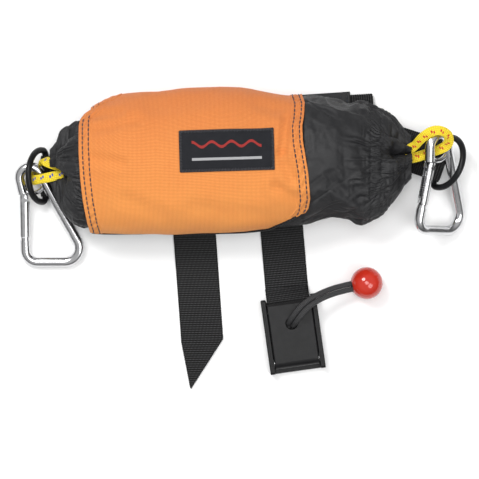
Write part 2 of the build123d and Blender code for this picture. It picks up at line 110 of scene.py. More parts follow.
class Shader:
    """A Principled material whose nodes are added one call at a time."""

    def __init__(self, name, colour, roughness, **sockets):
        self.mat = bpy.data.materials.new(name)
        self.mat.use_nodes = True
        self.nodes = self.mat.node_tree.nodes
        self.links = self.mat.node_tree.links
        self.bsdf = self.nodes["Principled BSDF"]
        self.bsdf.inputs["Base Color"].default_value = (*colour, 1)
        self.bsdf.inputs["Roughness"].default_value = roughness
        for socket, value in sockets.items():
            self.bsdf.inputs[socket.replace("_", " ")].default_value = value
        self.height = None

    def add(self, kind, values=None, **settings):
        node = self.nodes.new(kind)
        for key, value in settings.items():
            setattr(node, key, value)
        for socket, value in (values or {}).items():
            if hasattr(value, "is_output"):
                self.links.new(value, node.inputs[socket])
            else:
                node.inputs[socket].default_value = value
        return node

    def math(self, operation, a, b=0.0):
        return self.add("ShaderNodeMath", {0: a, 1: b}, operation=operation).outputs[0]

    def times(self, a, b):
        return self.math("MULTIPLY", a, b)

    def plus(self, a, b):
        return self.math("ADD", a, b)

    def sine(self, a):
        return self.math("SINE", a)

    def size(self, a):
        return self.math("ABSOLUTE", a)

    def axes(self, vector):
        """The X, Y and Z of a vector."""
        return self.add("ShaderNodeSeparateXYZ", {0: vector}).outputs

    def place(self, source="UV"):
        return self.add("ShaderNodeTexCoord").outputs[source]

    def noise(self, vector, scale, detail=2.0, roughness=0.5):
        values = {"Vector": vector, "Scale": scale, "Detail": detail, "Roughness": roughness}
        return self.add("ShaderNodeTexNoise", values).outputs["Fac"]

    def mix(self, fac, a, b, blend="MIX"):
        a, b = (value if hasattr(value, "is_output") else (*value, 1) for value in (a, b))
        node = self.add("ShaderNodeMix", {0: fac, 6: a, 7: b}, data_type="RGBA", blend_type=blend)
        return node.outputs[2]

    def stripes(self, vector, axis, pitch):
        """Rounded ridges, 0 to 1, across the X or Y of a vector in metres."""
        wave = self.sine(self.times(self.axes(vector)[axis], 2 * pi / pitch))
        return self.plus(self.times(wave, 0.5), 0.5)

    def weave(self, vector, pitch_x, pitch_y):
        """Plain weave, 0 to 1: threads that pass over and under each other."""
        x, y, _ = self.axes(vector)
        across = self.sine(self.times(x, pi / pitch_x))
        along = self.sine(self.times(y, pi / pitch_y))
        return self.size(self.times(across, along))

    def tint(self, base, amount, share, colour):
        """Mixes in a share of a colour by an amount that varies from 0 to 1."""
        return self.mix(self.times(amount, share), base, colour)

    def set_colour(self, colour):
        self.links.new(colour, self.bsdf.inputs["Base Color"])

    def vary_roughness(self, amount, share, least):
        value = self.plus(self.times(amount, share), least)
        self.links.new(value, self.bsdf.inputs["Roughness"])

    def bump(self, height, distance, strength):
        values = {"Height": height, "Distance": distance, "Strength": strength}
        if self.height is not None:
            values["Normal"] = self.height
        self.height = self.add("ShaderNodeBump", values).outputs["Normal"]
        self.links.new(self.height, self.bsdf.inputs["Normal"])


def cordura_material():
    """Orange plain weave, a little redder and deeper near the bag's top edge: partly the cloth's own tone,
    partly painted shade.
    """
    s = Shader("orange_cordura", (0.86, 0.28, 0.05), 0.78, Sheen_Weight=0.06)
    uv = s.place()
    weave = s.weave(uv, 0.0011, 0.0011)
    # painted shade, partly the cloth's own tone: the colour darkens and reddens from the bag's lower side
    # up to its top edge
    height = s.axes(s.place("Object"))[1]
    up = s.add("ShaderNodeMapRange", {"Value": height, "From Min": -0.07, "From Max": 0.07}).outputs[0]
    base = s.mix(up, (0.90, 0.365, 0.070), (0.56, 0.128, 0.020))
    base = s.tint(base, s.noise(uv, 38, 3), 0.42, (0.68, 0.16, 0.03))
    slub = s.noise(s.add("ShaderNodeMapping", {"Vector": uv, "Scale": (260, 2600, 1)}).outputs[0], 1.0, 1)
    base = s.tint(base, slub, 0.32, (1.0, 0.50, 0.15))
    shade = s.mix(weave, (0.66, 0.56, 0.48), (1.08, 1.08, 1.08))
    s.set_colour(s.mix(1.0, base, shade, "MULTIPLY"))
    s.bump(weave, 0.00025, 0.9)
    return s.mat


def packcloth_material():
    """Coated black nylon: a fine weave under a slight sheen."""
    s = Shader("black_packcloth", (0.02, 0.02, 0.021), 0.5, Specular_IOR_Level=0.34)
    uv = s.place()
    weave = s.weave(uv, 0.0006, 0.0006)
    cloudy = s.noise(uv, 60, 4)
    base = s.mix(cloudy, (0.005, 0.005, 0.006), (0.014, 0.014, 0.015))
    s.set_colour(s.tint(base, weave, 0.35, (0.028, 0.028, 0.030)))
    s.vary_roughness(cloudy, 0.2, 0.42)
    s.bump(weave, 0.0001, 0.6)
    s.bump(s.noise(uv, 420, 3), 0.00025, 0.35)
    return s.mat


def webbing_material():
    """Nylon webbing: fine lengthways yarns across the ribs, with painted highlights on their crests and
    painted shade in their grooves.
    """
    s = Shader("black_webbing", (0.022, 0.022, 0.024), 0.62, Specular_IOR_Level=0.15)
    uv = s.place()
    yarns = s.stripes(uv, 0, 0.00125)
    # painted highlight on the crests of the ribs and yarns, painted shade in the grooves between them
    painted_crest_light = s.times(yarns, s.stripes(uv, 1, RIB_PITCH))
    base = s.mix(s.math("POWER", painted_crest_light, 2.0), (0.0015, 0.0015, 0.0015), (0.085, 0.085, 0.088))
    s.set_colour(s.tint(base, s.noise(uv, 900, 2), 0.12, (0.05, 0.05, 0.053)))
    s.bump(yarns, 0.00018, 0.7)
    return s.mat


def plastic_material(name, colour, roughness):
    """Moulded acetal: faint grain, with slight variation in gloss."""
    s = Shader(name, colour, roughness, Specular_IOR_Level=0.14)
    place = s.place("Object")
    dark = tuple(0.75 * c for c in colour)
    s.set_colour(s.mix(s.noise(place, 90, 3), dark, tuple(1.25 * c for c in colour)))
    s.vary_roughness(s.noise(place, 300, 2), 0.14, roughness - 0.07)
    s.bump(s.noise(place, 2600, 2), 0.00005, 0.5)
    return s.mat


def ball_material():
    """Glossy red plastic with faint scuffs."""
    s = Shader("red_ball", (0.5, 0.02, 0.010), 0.12, Coat_Weight=0.25, Coat_Roughness=0.05)
    place = s.place("Object")
    s.set_colour(s.mix(s.noise(place, 60, 2), (0.40, 0.014, 0.007), (0.56, 0.035, 0.016)))
    scuff = s.noise(place, 700, 4, 0.7)
    s.vary_roughness(scuff, 0.12, 0.07)
    s.bump(scuff, 0.00003, 0.4)
    return s.mat


def steel_material(name, roughness):
    """Tumbled stainless: bright, with fine scuffs."""
    s = Shader(name, (0.62, 0.62, 0.63), roughness, Metallic=1.0)
    place = s.place("Object")
    scuff = s.noise(place, 500, 4, 0.65)
    s.set_colour(s.mix(s.noise(place, 120, 2), (0.54, 0.54, 0.55), (0.70, 0.70, 0.71)))
    s.vary_roughness(scuff, 0.16, roughness - 0.06)
    s.bump(scuff, 0.00002, 0.35)
    return s.mat


def braid_material(name, low, high, pitch_x, pitch_y):
    """Small diamond braid in two close shades."""
    s = Shader(name, high, 0.7)
    uv = s.place()
    braid = s.weave(uv, pitch_x, pitch_y)
    s.set_colour(s.mix(braid, low, high))
    s.bump(braid, 0.0003, 0.9)
    return s.mat


def tracer_material(name, tracer, spacing, offset):
    """Yellow hollow braid with pairs of coloured tracer picks down its middle."""
    s = Shader(name, (0.95, 0.75, 0.03), 0.55)
    uv = s.place()
    braid = s.weave(uv, 0.0016, 0.0016)
    base = s.mix(braid, (0.70, 0.48, 0.01), (1.0, 0.83, 0.035))
    across, along, _ = s.axes(uv)
    turn = s.times(along, 2 * pi / spacing)
    twice = s.sine(s.times(turn, 2.0))
    from_line = s.size(s.math("SUBTRACT", across, s.plus(s.times(twice, 0.0007), offset)))
    near = s.math("LESS_THAN", from_line, 0.00115)
    pick = s.times(s.math("GREATER_THAN", s.sine(turn), 0.0),
                  s.math("GREATER_THAN", s.size(twice), 0.45))
    s.set_colour(s.mix(s.times(near, pick), base, tracer))
    s.bump(braid, 0.0005, 0.9)
    return s.mat


def label_material():
    """Black woven label with a plain red wave over a plain grey bar."""
    s = Shader("woven_label", (0.02, 0.02, 0.024), 0.7, Specular_IOR_Level=0.1)
    uv = s.place()
    weave = s.weave(uv, 0.0007, 0.0005)
    base = s.mix(s.noise(uv, 90, 3), (0.006, 0.0065, 0.008), (0.016, 0.0165, 0.020))
    base = s.tint(base, weave, 0.4, (0.034, 0.035, 0.040))
    across, up, _ = s.axes(uv)
    crest = s.times(s.sine(s.times(across, 2 * pi / 0.017)), 0.0022)
    inside = s.math("LESS_THAN", s.size(across), 0.0300)
    woven = s.plus(s.times(weave, 0.4), 0.6)
    for middle, half, colour in ((s.plus(crest, 0.0052), 0.0012, (0.36, 0.035, 0.03)),
                                 (-0.0072, 0.0011, (0.42, 0.42, 0.43))):
        off = s.size(s.math("SUBTRACT", up, middle))
        mark = s.times(s.math("LESS_THAN", off, half), inside)
        base = s.tint(base, mark, woven, colour)
    s.set_colour(base)
    s.bump(weave, 0.00012, 0.7)
    return s.mat


CORDURA = cordura_material()
PACKCLOTH = packcloth_material()
WEBBING = webbing_material()
LABEL = label_material()
BUCKLE = plastic_material("buckle_acetal", (0.0080, 0.0080, 0.0085), 0.34)
RINGS = plastic_material("ring_acetal", (0.010, 0.010, 0.011), 0.30)
BALL = ball_material()
STEEL = steel_material("polished_steel", 0.18)
SPRING = steel_material("spring_wire", 0.3)
CORD = braid_material("cord_braid", (0.012, 0.012, 0.013), (0.055, 0.055, 0.057), 0.0011, 0.0014)
THREAD = braid_material("navy_thread", (0.016, 0.022, 0.040), (0.045, 0.058, 0.095), 0.0005, 0.0005)
LABEL_THREAD = braid_material("label_thread", (0.012, 0.012, 0.014), (0.07, 0.07, 0.08), 0.0005, 0.0005)
BLUE_LINE = tracer_material("yellow_line_blue", (0.02, 0.07, 0.45), 0.0085, 0.0009)
RED_LINE = tracer_material("yellow_line_red", (0.55, 0.02, 0.02), 0.0080, -0.0006)
ELASTIC = braid_material("elastic_cover", (0.02, 0.02, 0.02), (0.06, 0.06, 0.06), 0.0006, 0.0006)


studio()


# ---- mesh helpers

def make_object(name, points, faces, materials, uv=None, node=None, body=ROOT):
    """A mesh piece from points in metres; uv, if given, is one (u, v) in metres per point."""
    mesh = bpy.data.meshes.new(name)
    mesh.from_pydata([tuple(p) for p in points], [], faces)
    for mat in materials if isinstance(materials, (list, tuple)) else [materials]:
        mesh.materials.append(mat)
    if uv is not None:
        layer = mesh.uv_layers.new(name="weave")
        corner_point = np.empty(len(mesh.loops), dtype=np.int32)
        mesh.loops.foreach_get("vertex_index", corner_point)
        layer.data.foreach_set("uv", np.asarray(uv, dtype=np.float32)[corner_point].ravel())
    mesh.polygons.foreach_set("use_smooth", [True] * len(mesh.polygons))
    mesh.update()
    face_outwards(mesh)
    obj = put(name, mesh)
    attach(obj, body)
    if node:
        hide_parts(node)
    return obj


def face_outwards(mesh):
    """Turns the faces of a closed mesh outwards; an open one keeps the order it was given."""
    shape = bmesh.new()
    shape.from_mesh(mesh)
    if not any(edge.is_boundary for edge in shape.edges):
        bmesh.ops.recalc_face_normals(shape, faces=shape.faces)
        shape.to_mesh(mesh)
    shape.free()


def grid_faces(rows, columns, wrap=False, start=0):
    """Quads of a grid of points listed row by row; wrap joins the last column to the first."""
    faces = []
    for r in range(rows - 1):
        for c in range(columns if wrap else columns - 1):
            a = start + r * columns + c
            b = start + r * columns + (c + 1) % columns
            faces.append((a, b, b + columns, a + columns))
    return faces


def tube_faces(rows, sides, start=0):
    """Quads between a tube's rings, and a cap on each end."""
    last = start + (rows - 1) * sides
    return grid_faces(rows, sides, wrap=True, start=start) \
        + [tuple(start + j for j in reversed(range(sides))), tuple(last + j for j in range(sides))]


def ring_angles(sides):
    """Evenly spaced angles round a ring."""
    return np.arange(sides) * 2 * pi / sides


def run_along(points):
    """Distance along a line at each of its points."""
    return np.concatenate([[0], np.cumsum(np.linalg.norm(np.diff(points, axis=0), axis=1))])


def coords(mesh):
    """The points of a mesh, one row each."""
    points = np.empty(len(mesh.vertices) * 3)
    mesh.vertices.foreach_get("co", points)
    return points.reshape(-1, 3)


def read_table(table, at):
    """Value at a place in a table of (place, value) pairs, straight between them."""
    return np.interp(at, *zip(*table))


def at_run(s, run, line):
    """Point of a line at a distance along it, or points at several distances."""
    return np.stack([np.interp(s, run, line[:, i]) for i in range(line.shape[1])], axis=-1)


def modify(obj, kind, **settings):
    """Adds one modifier and applies it."""
    mod = obj.modifiers.new(kind.lower(), kind)
    for key, value in settings.items():
        setattr(mod, key, value)
    bake(obj)


def bake(obj):
    """Replaces the mesh by what its modifiers make of it."""
    evaluated = obj.evaluated_get(bpy.context.evaluated_depsgraph_get())
    mesh = bpy.data.meshes.new_from_object(evaluated)
    obj.modifiers.clear()
    old = obj.data
    name = old.name
    obj.data = mesh
    bpy.data.meshes.remove(old)
    mesh.name = name


def unit(v):
    """The vector at length 1."""
    return v / np.linalg.norm(v)


def smooth_step(x):
    x = np.clip(x, 0, 1)
    return x * x * (3 - 2 * x)


def fractal(p, scale, seed=0.0):
    """Soft noise from -1 to 1 at a point in metres."""
    return noise.fractal(Vector(p) * scale + Vector((seed, 0.7 * seed, 1.3 * seed)), 0.6, 2.1, 3)


def stitches(name, line, normals, radius=0.00030, length=0.0026, gap=0.0008):
    """A row of thread stitches along a line of points that lie on the cloth."""
    line = np.asarray(line)
    run = run_along(line)
    points, faces, uv = [], [], []
    sides, stations = 6, (0.0, 0.12, 0.35, 0.65, 0.88, 1.0)
    for k in range(int(run[-1] / (length + gap))):
        start = k * (length + gap)
        base = len(points)
        for t in stations:
            s = start + t * length
            centre = at_run(s, run, line)
            normal = unit(at_run(s, run, normals))
            along = unit(at_run(s + 1e-4, run, line) - centre + 1e-12)
            across = np.cross(along, normal)
            arch = sin(pi * t)
            centre = centre + normal * radius * (1.25 * arch - 0.5)
            thick = radius * (0.35 + 0.65 * arch**0.5 if arch > 0.01 else 0.3)
            for turn in ring_angles(sides):
                points.append(centre + thick * (cos(turn) * across + sin(turn) * normal))
                uv.append((thick * turn, s))
        faces += tube_faces(len(stations), sides, base)
    make_object(name, points, faces, THREAD, uv)


def spline_points(control, per_run):
    """Points along the NURBS line of the control points, read from Blender's own curve."""
    curve = bpy.data.curves.new("route", "CURVE")
    curve.dimensions = "3D"
    curve.resolution_u = per_run
    spline = curve.splines.new("NURBS")
    spline.points.add(len(control) - 1)
    for point, place in zip(spline.points, control):
        point.co = (*place, 1)
    spline.order_u = 3
    spline.use_endpoint_u = True
    holder = bpy.data.objects.new("route", curve)
    mesh = bpy.data.meshes.new_from_object(holder)
    points = coords(mesh)
    bpy.data.meshes.remove(mesh)
    bpy.data.objects.remove(holder)
    bpy.data.curves.remove(curve)
    return points


def frames_along(points, hints):
    """Unit width and normal directions along a line, from width hints spread over it."""
    tangents = np.gradient(points, axis=0)
    tangents /= np.linalg.norm(tangents, axis=1)[:, None]
    spots = np.linspace(0, 1, len(hints))
    wide = at_run(np.linspace(0, 1, len(points)), spots, np.array(hints, dtype=float))
    wide -= tangents * np.sum(wide * tangents, axis=1)[:, None]
    wide /= np.linalg.norm(wide, axis=1)[:, None]
    return wide, np.cross(tangents, wide)


def swept(centres, hints, section):
    """Points of a tube; section(k) gives ring k's offsets along its width and its normal."""
    points = []
    for k, (centre, wide, normal) in enumerate(zip(centres, *frames_along(centres, hints))):
        across, up = section(k)
        points += list(centre + across[:, None] * wide + up[:, None] * normal)
    return points


def round_tube(centres, hint, radius, sides):
    """Points of a tube of one radius."""
    ring = ring_angles(sides)
    return swept(centres, [hint], lambda k: (radius * np.cos(ring), radius * np.sin(ring)))


# ---- release cord, first of the soft goods

# middle of the doubled cord; its two strands lie side by side
RELEASE_CORD = [
    (0.0541, -0.1454, 0.0109), (0.0564, -0.1414, 0.0188), (0.0609, -0.1348, 0.0238),
    (0.0678, -0.1272, 0.0246), (0.0785, -0.1206, 0.0223), (0.0910, -0.1156, 0.0188),
    (0.1030, -0.1126, 0.0160), (0.1127, -0.1106, 0.0147),
]
STRAND_OFFSET = 0.00245         # each strand's middle from the doubled cord's
CORD_R, CORD_PITCH = 0.0024, 0.0075
KNOT_CORD_R = 0.0021            # the cord is pulled thinner in the knot


def strand_route(side):
    """Route of one strand: the doubled cord's middle shifted sideways in plan."""
    points = [Vector(p) for p in RELEASE_CORD]
    route = []
    for i, here in enumerate(points):
        along = points[min(i + 1, len(points) - 1)] - points[max(i - 1, 0)]
        across = Vector((-along.y, along.x, 0)).normalized()
        route.append(tuple(here + across * side * STRAND_OFFSET))
    return route


def braided_tube(name, route, node):
    """Round braided cord along a route's spline, with the picks raised on its surface."""
    points = spline_points(route, per_run=26)
    run, ring = run_along(points), ring_angles(40)

    def section(k):
        turn = 2 * pi * run[k] / CORD_PITCH
        picks = np.abs(np.sin(2 * (ring + turn)) * np.sin(2 * (ring - turn)))
        r = CORD_R * (0.93 + 0.12 * picks**0.6)
        return r * np.cos(ring), r * np.sin(ring)

    uv = [(CORD_R * a, s) for s in run for a in ring]
    cord = make_object(name, swept(points, [UP], section), tube_faces(len(points), len(ring)), CORD, uv,
                       node, "release_pull")
    return cord, points


def overhand_knot():
    """The stopper knot under the lever: a cord wound into a tight flat turn."""
    low, high = (Vector(c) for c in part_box("release_knot"))
    centre, half = (low + high) / 2, (high - low) / 2
    steps, sides = 220, 14
    flat = half.x - 1.2 * KNOT_CORD_R
    t = np.linspace(0, 2 * pi, steps + 1)
    spots = np.stack([centre.x + flat * (0.55 * np.cos(t) + 0.42 * np.cos(2 * t)),
                      centre.y + flat * (0.55 * np.sin(t) - 0.42 * np.sin(2 * t)),
                      centre.z + (half.z - KNOT_CORD_R) * np.sin(3 * t)], axis=1)
    uv = [(KNOT_CORD_R * a, i * 0.0004) for i in range(steps + 1) for a in ring_angles(sides)]
    return make_object("stopper_knot", round_tube(spots, UP, KNOT_CORD_R, sides),
                       grid_faces(steps + 1, sides, wrap=True), CORD, uv, "release_knot",
                       "release_pull")


knot = overhand_knot()
for label, side, strand_length in (("near", -1, 0.076), ("far", 1, 0.080)):
    route = strand_route(side)
    strand, spots = braided_tube(f"pull_cord_{label}", route, f"release_cord_{label}")


# ---- the stuffed bag

# (place along the bag, drop) of its upper edge below the CAD solid's
TOP_DROP = [(-0.0933, 0.0000), (-0.0862, 0.0019), (-0.0722, 0.0050), (-0.0634, 0.0066), (-0.0510, 0.0060),
            (-0.0370, 0.0043), (-0.0229, 0.0026), (-0.0088, 0.0010), (0.0088, 0.0008), (0.0194, 0.0019),
            (0.0334, 0.0043), (0.0475, 0.0060), (0.0581, 0.0062), (0.0686, 0.0034), (0.0827, 0.0019),
            (0.1038, 0.0024), (0.1109, 0.0000)]


class BagShape:
    """The bag's outer shape, read from its CAD solid: an ellipse at each place along it."""

    def __init__(self):
        mesh = NODES["line_bag"].data
        points = coords(mesh)
        edges = np.empty(len(mesh.edges) * 2, dtype=np.int64)
        mesh.edges.foreach_get("vertices", edges)
        a, b = points[edges.reshape(-1, 2)].transpose(1, 0, 2)
        self.left, self.right = points[:, 0].min(), points[:, 0].max()
        self.x = np.linspace(self.left + 0.0002, self.right - 0.0002, 90)
        rows = []
        for x in self.x:
            hit = (a[:, 0] - x) * (b[:, 0] - x) < 0
            t = ((x - a[hit, 0]) / (b[hit, 0] - a[hit, 0]))[:, None]
            cut = a[hit] + t * (b[hit] - a[hit])
            rows.append([cut[:, 1].min(), cut[:, 1].max(), cut[:, 2].min(), cut[:, 2].max()])
        self.rows = np.array(rows)
        self.rows[:, 1] -= read_table(TOP_DROP, self.x)

    def ellipse(self, x):
        """Centre y and z, half width and half height at x."""
        low_y, high_y, low_z, high_z = (np.interp(x, self.x, self.rows[:, i]) for i in range(4))
        return (low_y + high_y) / 2, (low_z + high_z) / 2, (high_y - low_y) / 2, (high_z - low_z) / 2

    def point(self, x, angle, out=0.0):
        """Point at x and an angle from +Y towards +Z, moved out along the surface's normal."""
        cy, cz, half_y, half_z = self.ellipse(x)
        y, z = half_y * np.cos(angle), half_z * np.sin(angle)
        ny, nz = np.cos(angle) / half_y, np.sin(angle) / half_z
        size = np.hypot(ny, nz)
        return np.stack([x + 0 * angle, cy + y + out * ny / size, cz + z + out * nz / size], axis=-1)

    def normal(self, x, angle, step=0.0015):
        """Outward normal, leaning with the taper towards the mouths."""
        along = self.point(np.clip(x + step, self.left, self.right), angle) \
            - self.point(np.clip(x - step, self.left, self.right), angle)
        round_it = self.point(x, angle + 0.01) - self.point(x, angle - 0.01)
        normal = np.cross(round_it, along)
        return normal / np.linalg.norm(normal, axis=-1, keepdims=True)

    def angle_at(self, x, height):
        """Angle, on the +Y side, where the surface reaches a height."""
        _, cz, _, half_z = self.ellipse(x)
        return np.arcsin(np.clip((height - cz) / half_z, -1, 1))

    def front_angle(self, x, y):
        """Angle, over the front, where the surface reaches a distance up the bag."""
        cy, _, half_y, _ = self.ellipse(x)
        return np.arccos(np.clip((y - cy) / half_y, -1, 1))


BAG = BagShape()
PANEL_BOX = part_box("front_panel")
LEFT_CHANNEL_X, RIGHT_CHANNEL_X = (sum(corner[0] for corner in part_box(f"{side}_mouth_elastic")) / 2
                                   for side in ("left", "right"))
CHANNEL_HALF = 0.0045           # between a channel's two stitch rows
CLOTH_THICK = 0.0005
GIRTH = 0.33                    # length of the weave round the bag


def spaced(stops):
    """Places along X from (start, end, spacing) stretches."""
    out = []
    for start, end, spacing in stops:
        out += list(np.linspace(start, end, max(2, int(round((end - start) / spacing))), endpoint=False))
    return np.array(out + [stops[-1][1]])


def pleats(angle, count, phase, warp):
    """Round ridges with sharp valleys round the bag: 0 on a ridge, 1 in a valley."""
    bent = angle + warp * np.sin(2 * angle + phase) + 0.6 * warp * np.sin(3 * angle + 2.1 * phase)
    return 1 - np.abs(np.sin(count / 2 * bent + phase))


# gathers past each channel: middle and half width in degrees from the top edge over the front,
# depth, and where it starts as a share of the way from channel to mouth; a bulge has a depth below zero
GATHERS = {
    "left": [
        (30, 9, 0.0135, -0.15), (6, 13, -0.0062, 0.30), (66, 10, 0.0042, 0.10), (104, 9, 0.0140, 0.30),
        (84, 9, -0.0020, 0.30), (132, 8, 0.0060, 0.30), (156, 8, 0.0030, 0.20), (178, 8, 0.0050, 0.35),
        (206, 10, 0.0090, 0.05), (238, 9, 0.0100, 0.20), (270, 10, 0.0090, 0.00), (304, 9, 0.0100, 0.15),
        (340, 9, 0.0060, 0.25)],
    "right": [
        (44, 9, 0.0140, 0.02), (24, 7, 0.0030, 0.35), (4, 18, -0.0044, -0.60), (81, 8, 0.0120, 0.10),
        (104, 10, -0.0030, 0.15), (138, 8, 0.0105, 0.34), (156, 6, 0.0030, 0.15), (176, 24, -0.0062, -0.80),
        (207, 10, 0.0090, 0.05), (240, 9, 0.0100, 0.20), (272, 10, 0.0090, 0.00), (305, 9, 0.0090, 0.15),
        (340, 8, 0.0050, 0.25)],
}
PIPING_ANGLE = pi + 0.06        # where the panel's lower edge ends, under the bag
CORNER_FROM = 2.1               # the panel's lower right corner is pulled up from this angle on
CORNER_RISE = [(0.0270, 0.0), (0.0334, 0.12), (0.0405, 0.35), (0.0475, 0.48), (0.0546, 0.60),
               (0.0616, 0.70), (0.0700, 0.76)]
SLANT_ANGLE, SLANT_HALF, SLANT_BACK = radians(118), 0.62, 0.0135     # the left mouth's slanted lower rim
SKIN, PANEL_ROOM = 0.0007, 0.0028       # the cloth lies inside the bag's shape, deeper under the panel
DEEPEST = 0.72                  # share of the bag's radius that a gather may fold in
BELT_NOTCH_X, BELT_NOTCH_ANGLE = -0.1285, radians(9)     # the belt's fold pushes the cloth in here


def turn_between(angle, place):
    """Signed angle from place to angle, the short way round."""
    return (angle - place + pi) % (2 * pi) - pi


def bag_depth(x, angle):
    """How far the gathered cloth folds in from the bag's full shape, in metres."""
    side = "right" if x > 0 else "left"
    end, channel = (BAG.right, RIGHT_CHANNEL_X) if x > 0 else (BAG.left, LEFT_CHANNEL_X)
    reach = (x - channel) / (end - channel)
    depth = 0 * angle
    for place, half, most, start in GATHERS[side]:
        lean = radians(place + 5 * sin(place) * max(reach, 0))
        bell = np.exp(-np.abs(turn_between(angle, lean) / radians(half))**1.7)
        depth = depth + most * bell * smooth_step((reach - start) / 0.45)
    skirt = smooth_step(reach)
    away = abs(x - channel)
    spread = exp(-(away / (0.022 if x > 0 else 0.010))**2)
    # small pleats in the skirt past the channel, and softer ones before it
    depth = depth + 0.0012 * skirt * pleats(angle, 17 if x > 0 else 15, 2.2, 0.14)
    depth = depth + 0.0018 * spread * (1 - skirt) * pleats(angle - 2.5 * (x - channel), 13, 1.4, 0.22)
    if x > 0:
        # long soft creases that run down the side towards the channel
        low = smooth_step((angle - radians(95)) / 0.5) * smooth_step((radians(190) - angle) / 0.4)
        creases = pleats(angle + 14 * (x - 0.09), 15, 0.8, 0.2)
        depth = depth + 0.0016 * low * exp(-((x - 0.098) / 0.022)**2) * creases
    notch = np.exp(-(turn_between(angle, BELT_NOTCH_ANGLE) / 0.42)**2)
    return depth + 0.0052 * (notch * exp(-((x - BELT_NOTCH_X) / 0.0045)**2))


def bag_grid(places, around):
    """Rings of points on the gathered bag, lower where the panel covers it."""
    rows = []
    angles = ring_angles(around)
    for x in places:
        cy, cz, half_y, half_z = BAG.ellipse(x)
        under_panel = smooth_step((x - PANEL_BOX[0][0] - 0.002) / 0.004) \
            * smooth_step((PANEL_BOX[1][0] - 0.006 - x) / 0.004)
        corner = PIPING_ANGLE - read_table(CORNER_RISE, x)
        if corner < PIPING_ANGLE:
            bare = smooth_step((angles - corner - 0.02) / 0.12) * smooth_step((pi + 0.3 - angles) / 0.2)
            under_panel = under_panel * (1 - bare)
        depth = bag_depth(x, angles) * (1 - under_panel) + SKIN + PANEL_ROOM * under_panel
        depth = np.minimum(depth, DEEPEST * min(half_y, half_z))
        shrink = 1 - depth / np.hypot(half_y * np.cos(angles), half_z * np.sin(angles))
        ring = BAG.point(x, angles)
        centre = np.array([x, cy, cz])
        ring = centre + (ring - centre) * shrink[:, None]
        if x < LEFT_CHANNEL_X:
            slant = np.exp(-(turn_between(angles, SLANT_ANGLE) / SLANT_HALF)**4)
            ring[:, 0] += SLANT_BACK * slant * ((LEFT_CHANNEL_X - x) / (LEFT_CHANNEL_X - BAG.left))**2
        rows.append(ring)
    return np.array(rows)


def relax_cloth(obj, pinned, frames, pressure, grow, cap):
    """Lets cloth that is a little too large for its shape buckle into wrinkles."""
    start = coords(obj.data)
    group = obj.vertex_groups.new(name="held")
    for index, weight in enumerate(pinned):
        if weight > 0:
            group.add([index], float(weight), "REPLACE")
    mod = obj.modifiers.new("cloth", "CLOTH")
    cloth = mod.settings
    cloth.quality = 6
    cloth.mass = 0.12
    cloth.tension_stiffness = cloth.compression_stiffness = 18
    cloth.shear_stiffness = 6
    cloth.bending_stiffness = 0.35
    cloth.tension_damping = cloth.compression_damping = 12
    cloth.air_damping = 2
    cloth.use_pressure = True
    cloth.uniform_pressure_force = pressure
    cloth.shrink_min = -grow
    cloth.vertex_group_mass = "held"
    cloth.effector_weights.gravity = 0
    mod.collision_settings.use_collision = False
    mod.point_cache.frame_start = 1
    mod.point_cache.frame_end = frames
    for number in range(1, frames + 1):
        bpy.context.scene.frame_set(number)
    bake(obj)
    obj.vertex_groups.clear()
    moved = coords(obj.data) - start
    size = np.linalg.norm(moved, axis=1, keepdims=True)
    limit = np.minimum(1, cap / np.maximum(size, 1e-9))
    obj.data.vertices.foreach_set("co", (start + moved * limit).ravel())
    bpy.context.scene.frame_set(1)


def bag_cloth():
    """The bag: gathers drawn in code, relaxed as cloth, then its channels' puckers and its thickness."""
    places = spaced([           # closer together where the cloth is gathered
        (BAG.left + 0.0003, -0.126, 0.0011), (-0.126, 0.055, 0.0062), (0.055, 0.112, 0.0016),
        (0.112, BAG.right - 0.0003, 0.0011)])
    around = 280
    grid = bag_grid(places, around)
    columns = around + 1
    grid = np.concatenate([grid, grid[:, :1]], axis=1)
    uv = [(x, g) for x in places for g in np.linspace(0, GIRTH, columns)]
    bag = make_object("bag_cloth", grid.reshape(-1, 3), grid_faces(len(places), columns), PACKCLOTH, uv,
                      "line_bag")
    # the wrap's two edges meet, so they are welded before the cloth is let go; it is held
    # where the panel covers it, at its two ends and, less firmly, at the right channel
    modify(bag, "WELD", merge_threshold=0.00002)
    x = coords(bag.data)[:, 0]
    held = smooth_step((x + 0.131) / 0.004) * smooth_step((0.064 - x) / 0.006)
    held = np.maximum(held, smooth_step((np.abs(x) - 0.150) / 0.006))
    held = np.maximum(held, 0.7 * np.exp(-((x - RIGHT_CHANNEL_X) / 0.004)**2))
    relax_cloth(bag, held, frames=14, pressure=1.2, grow=0.035, cap=0.0035)
    modify(bag, "SUBSURF", levels=1, render_levels=1)
    shirr(bag)
    modify(bag, "SOLIDIFY", thickness=CLOTH_THICK, offset=-1)


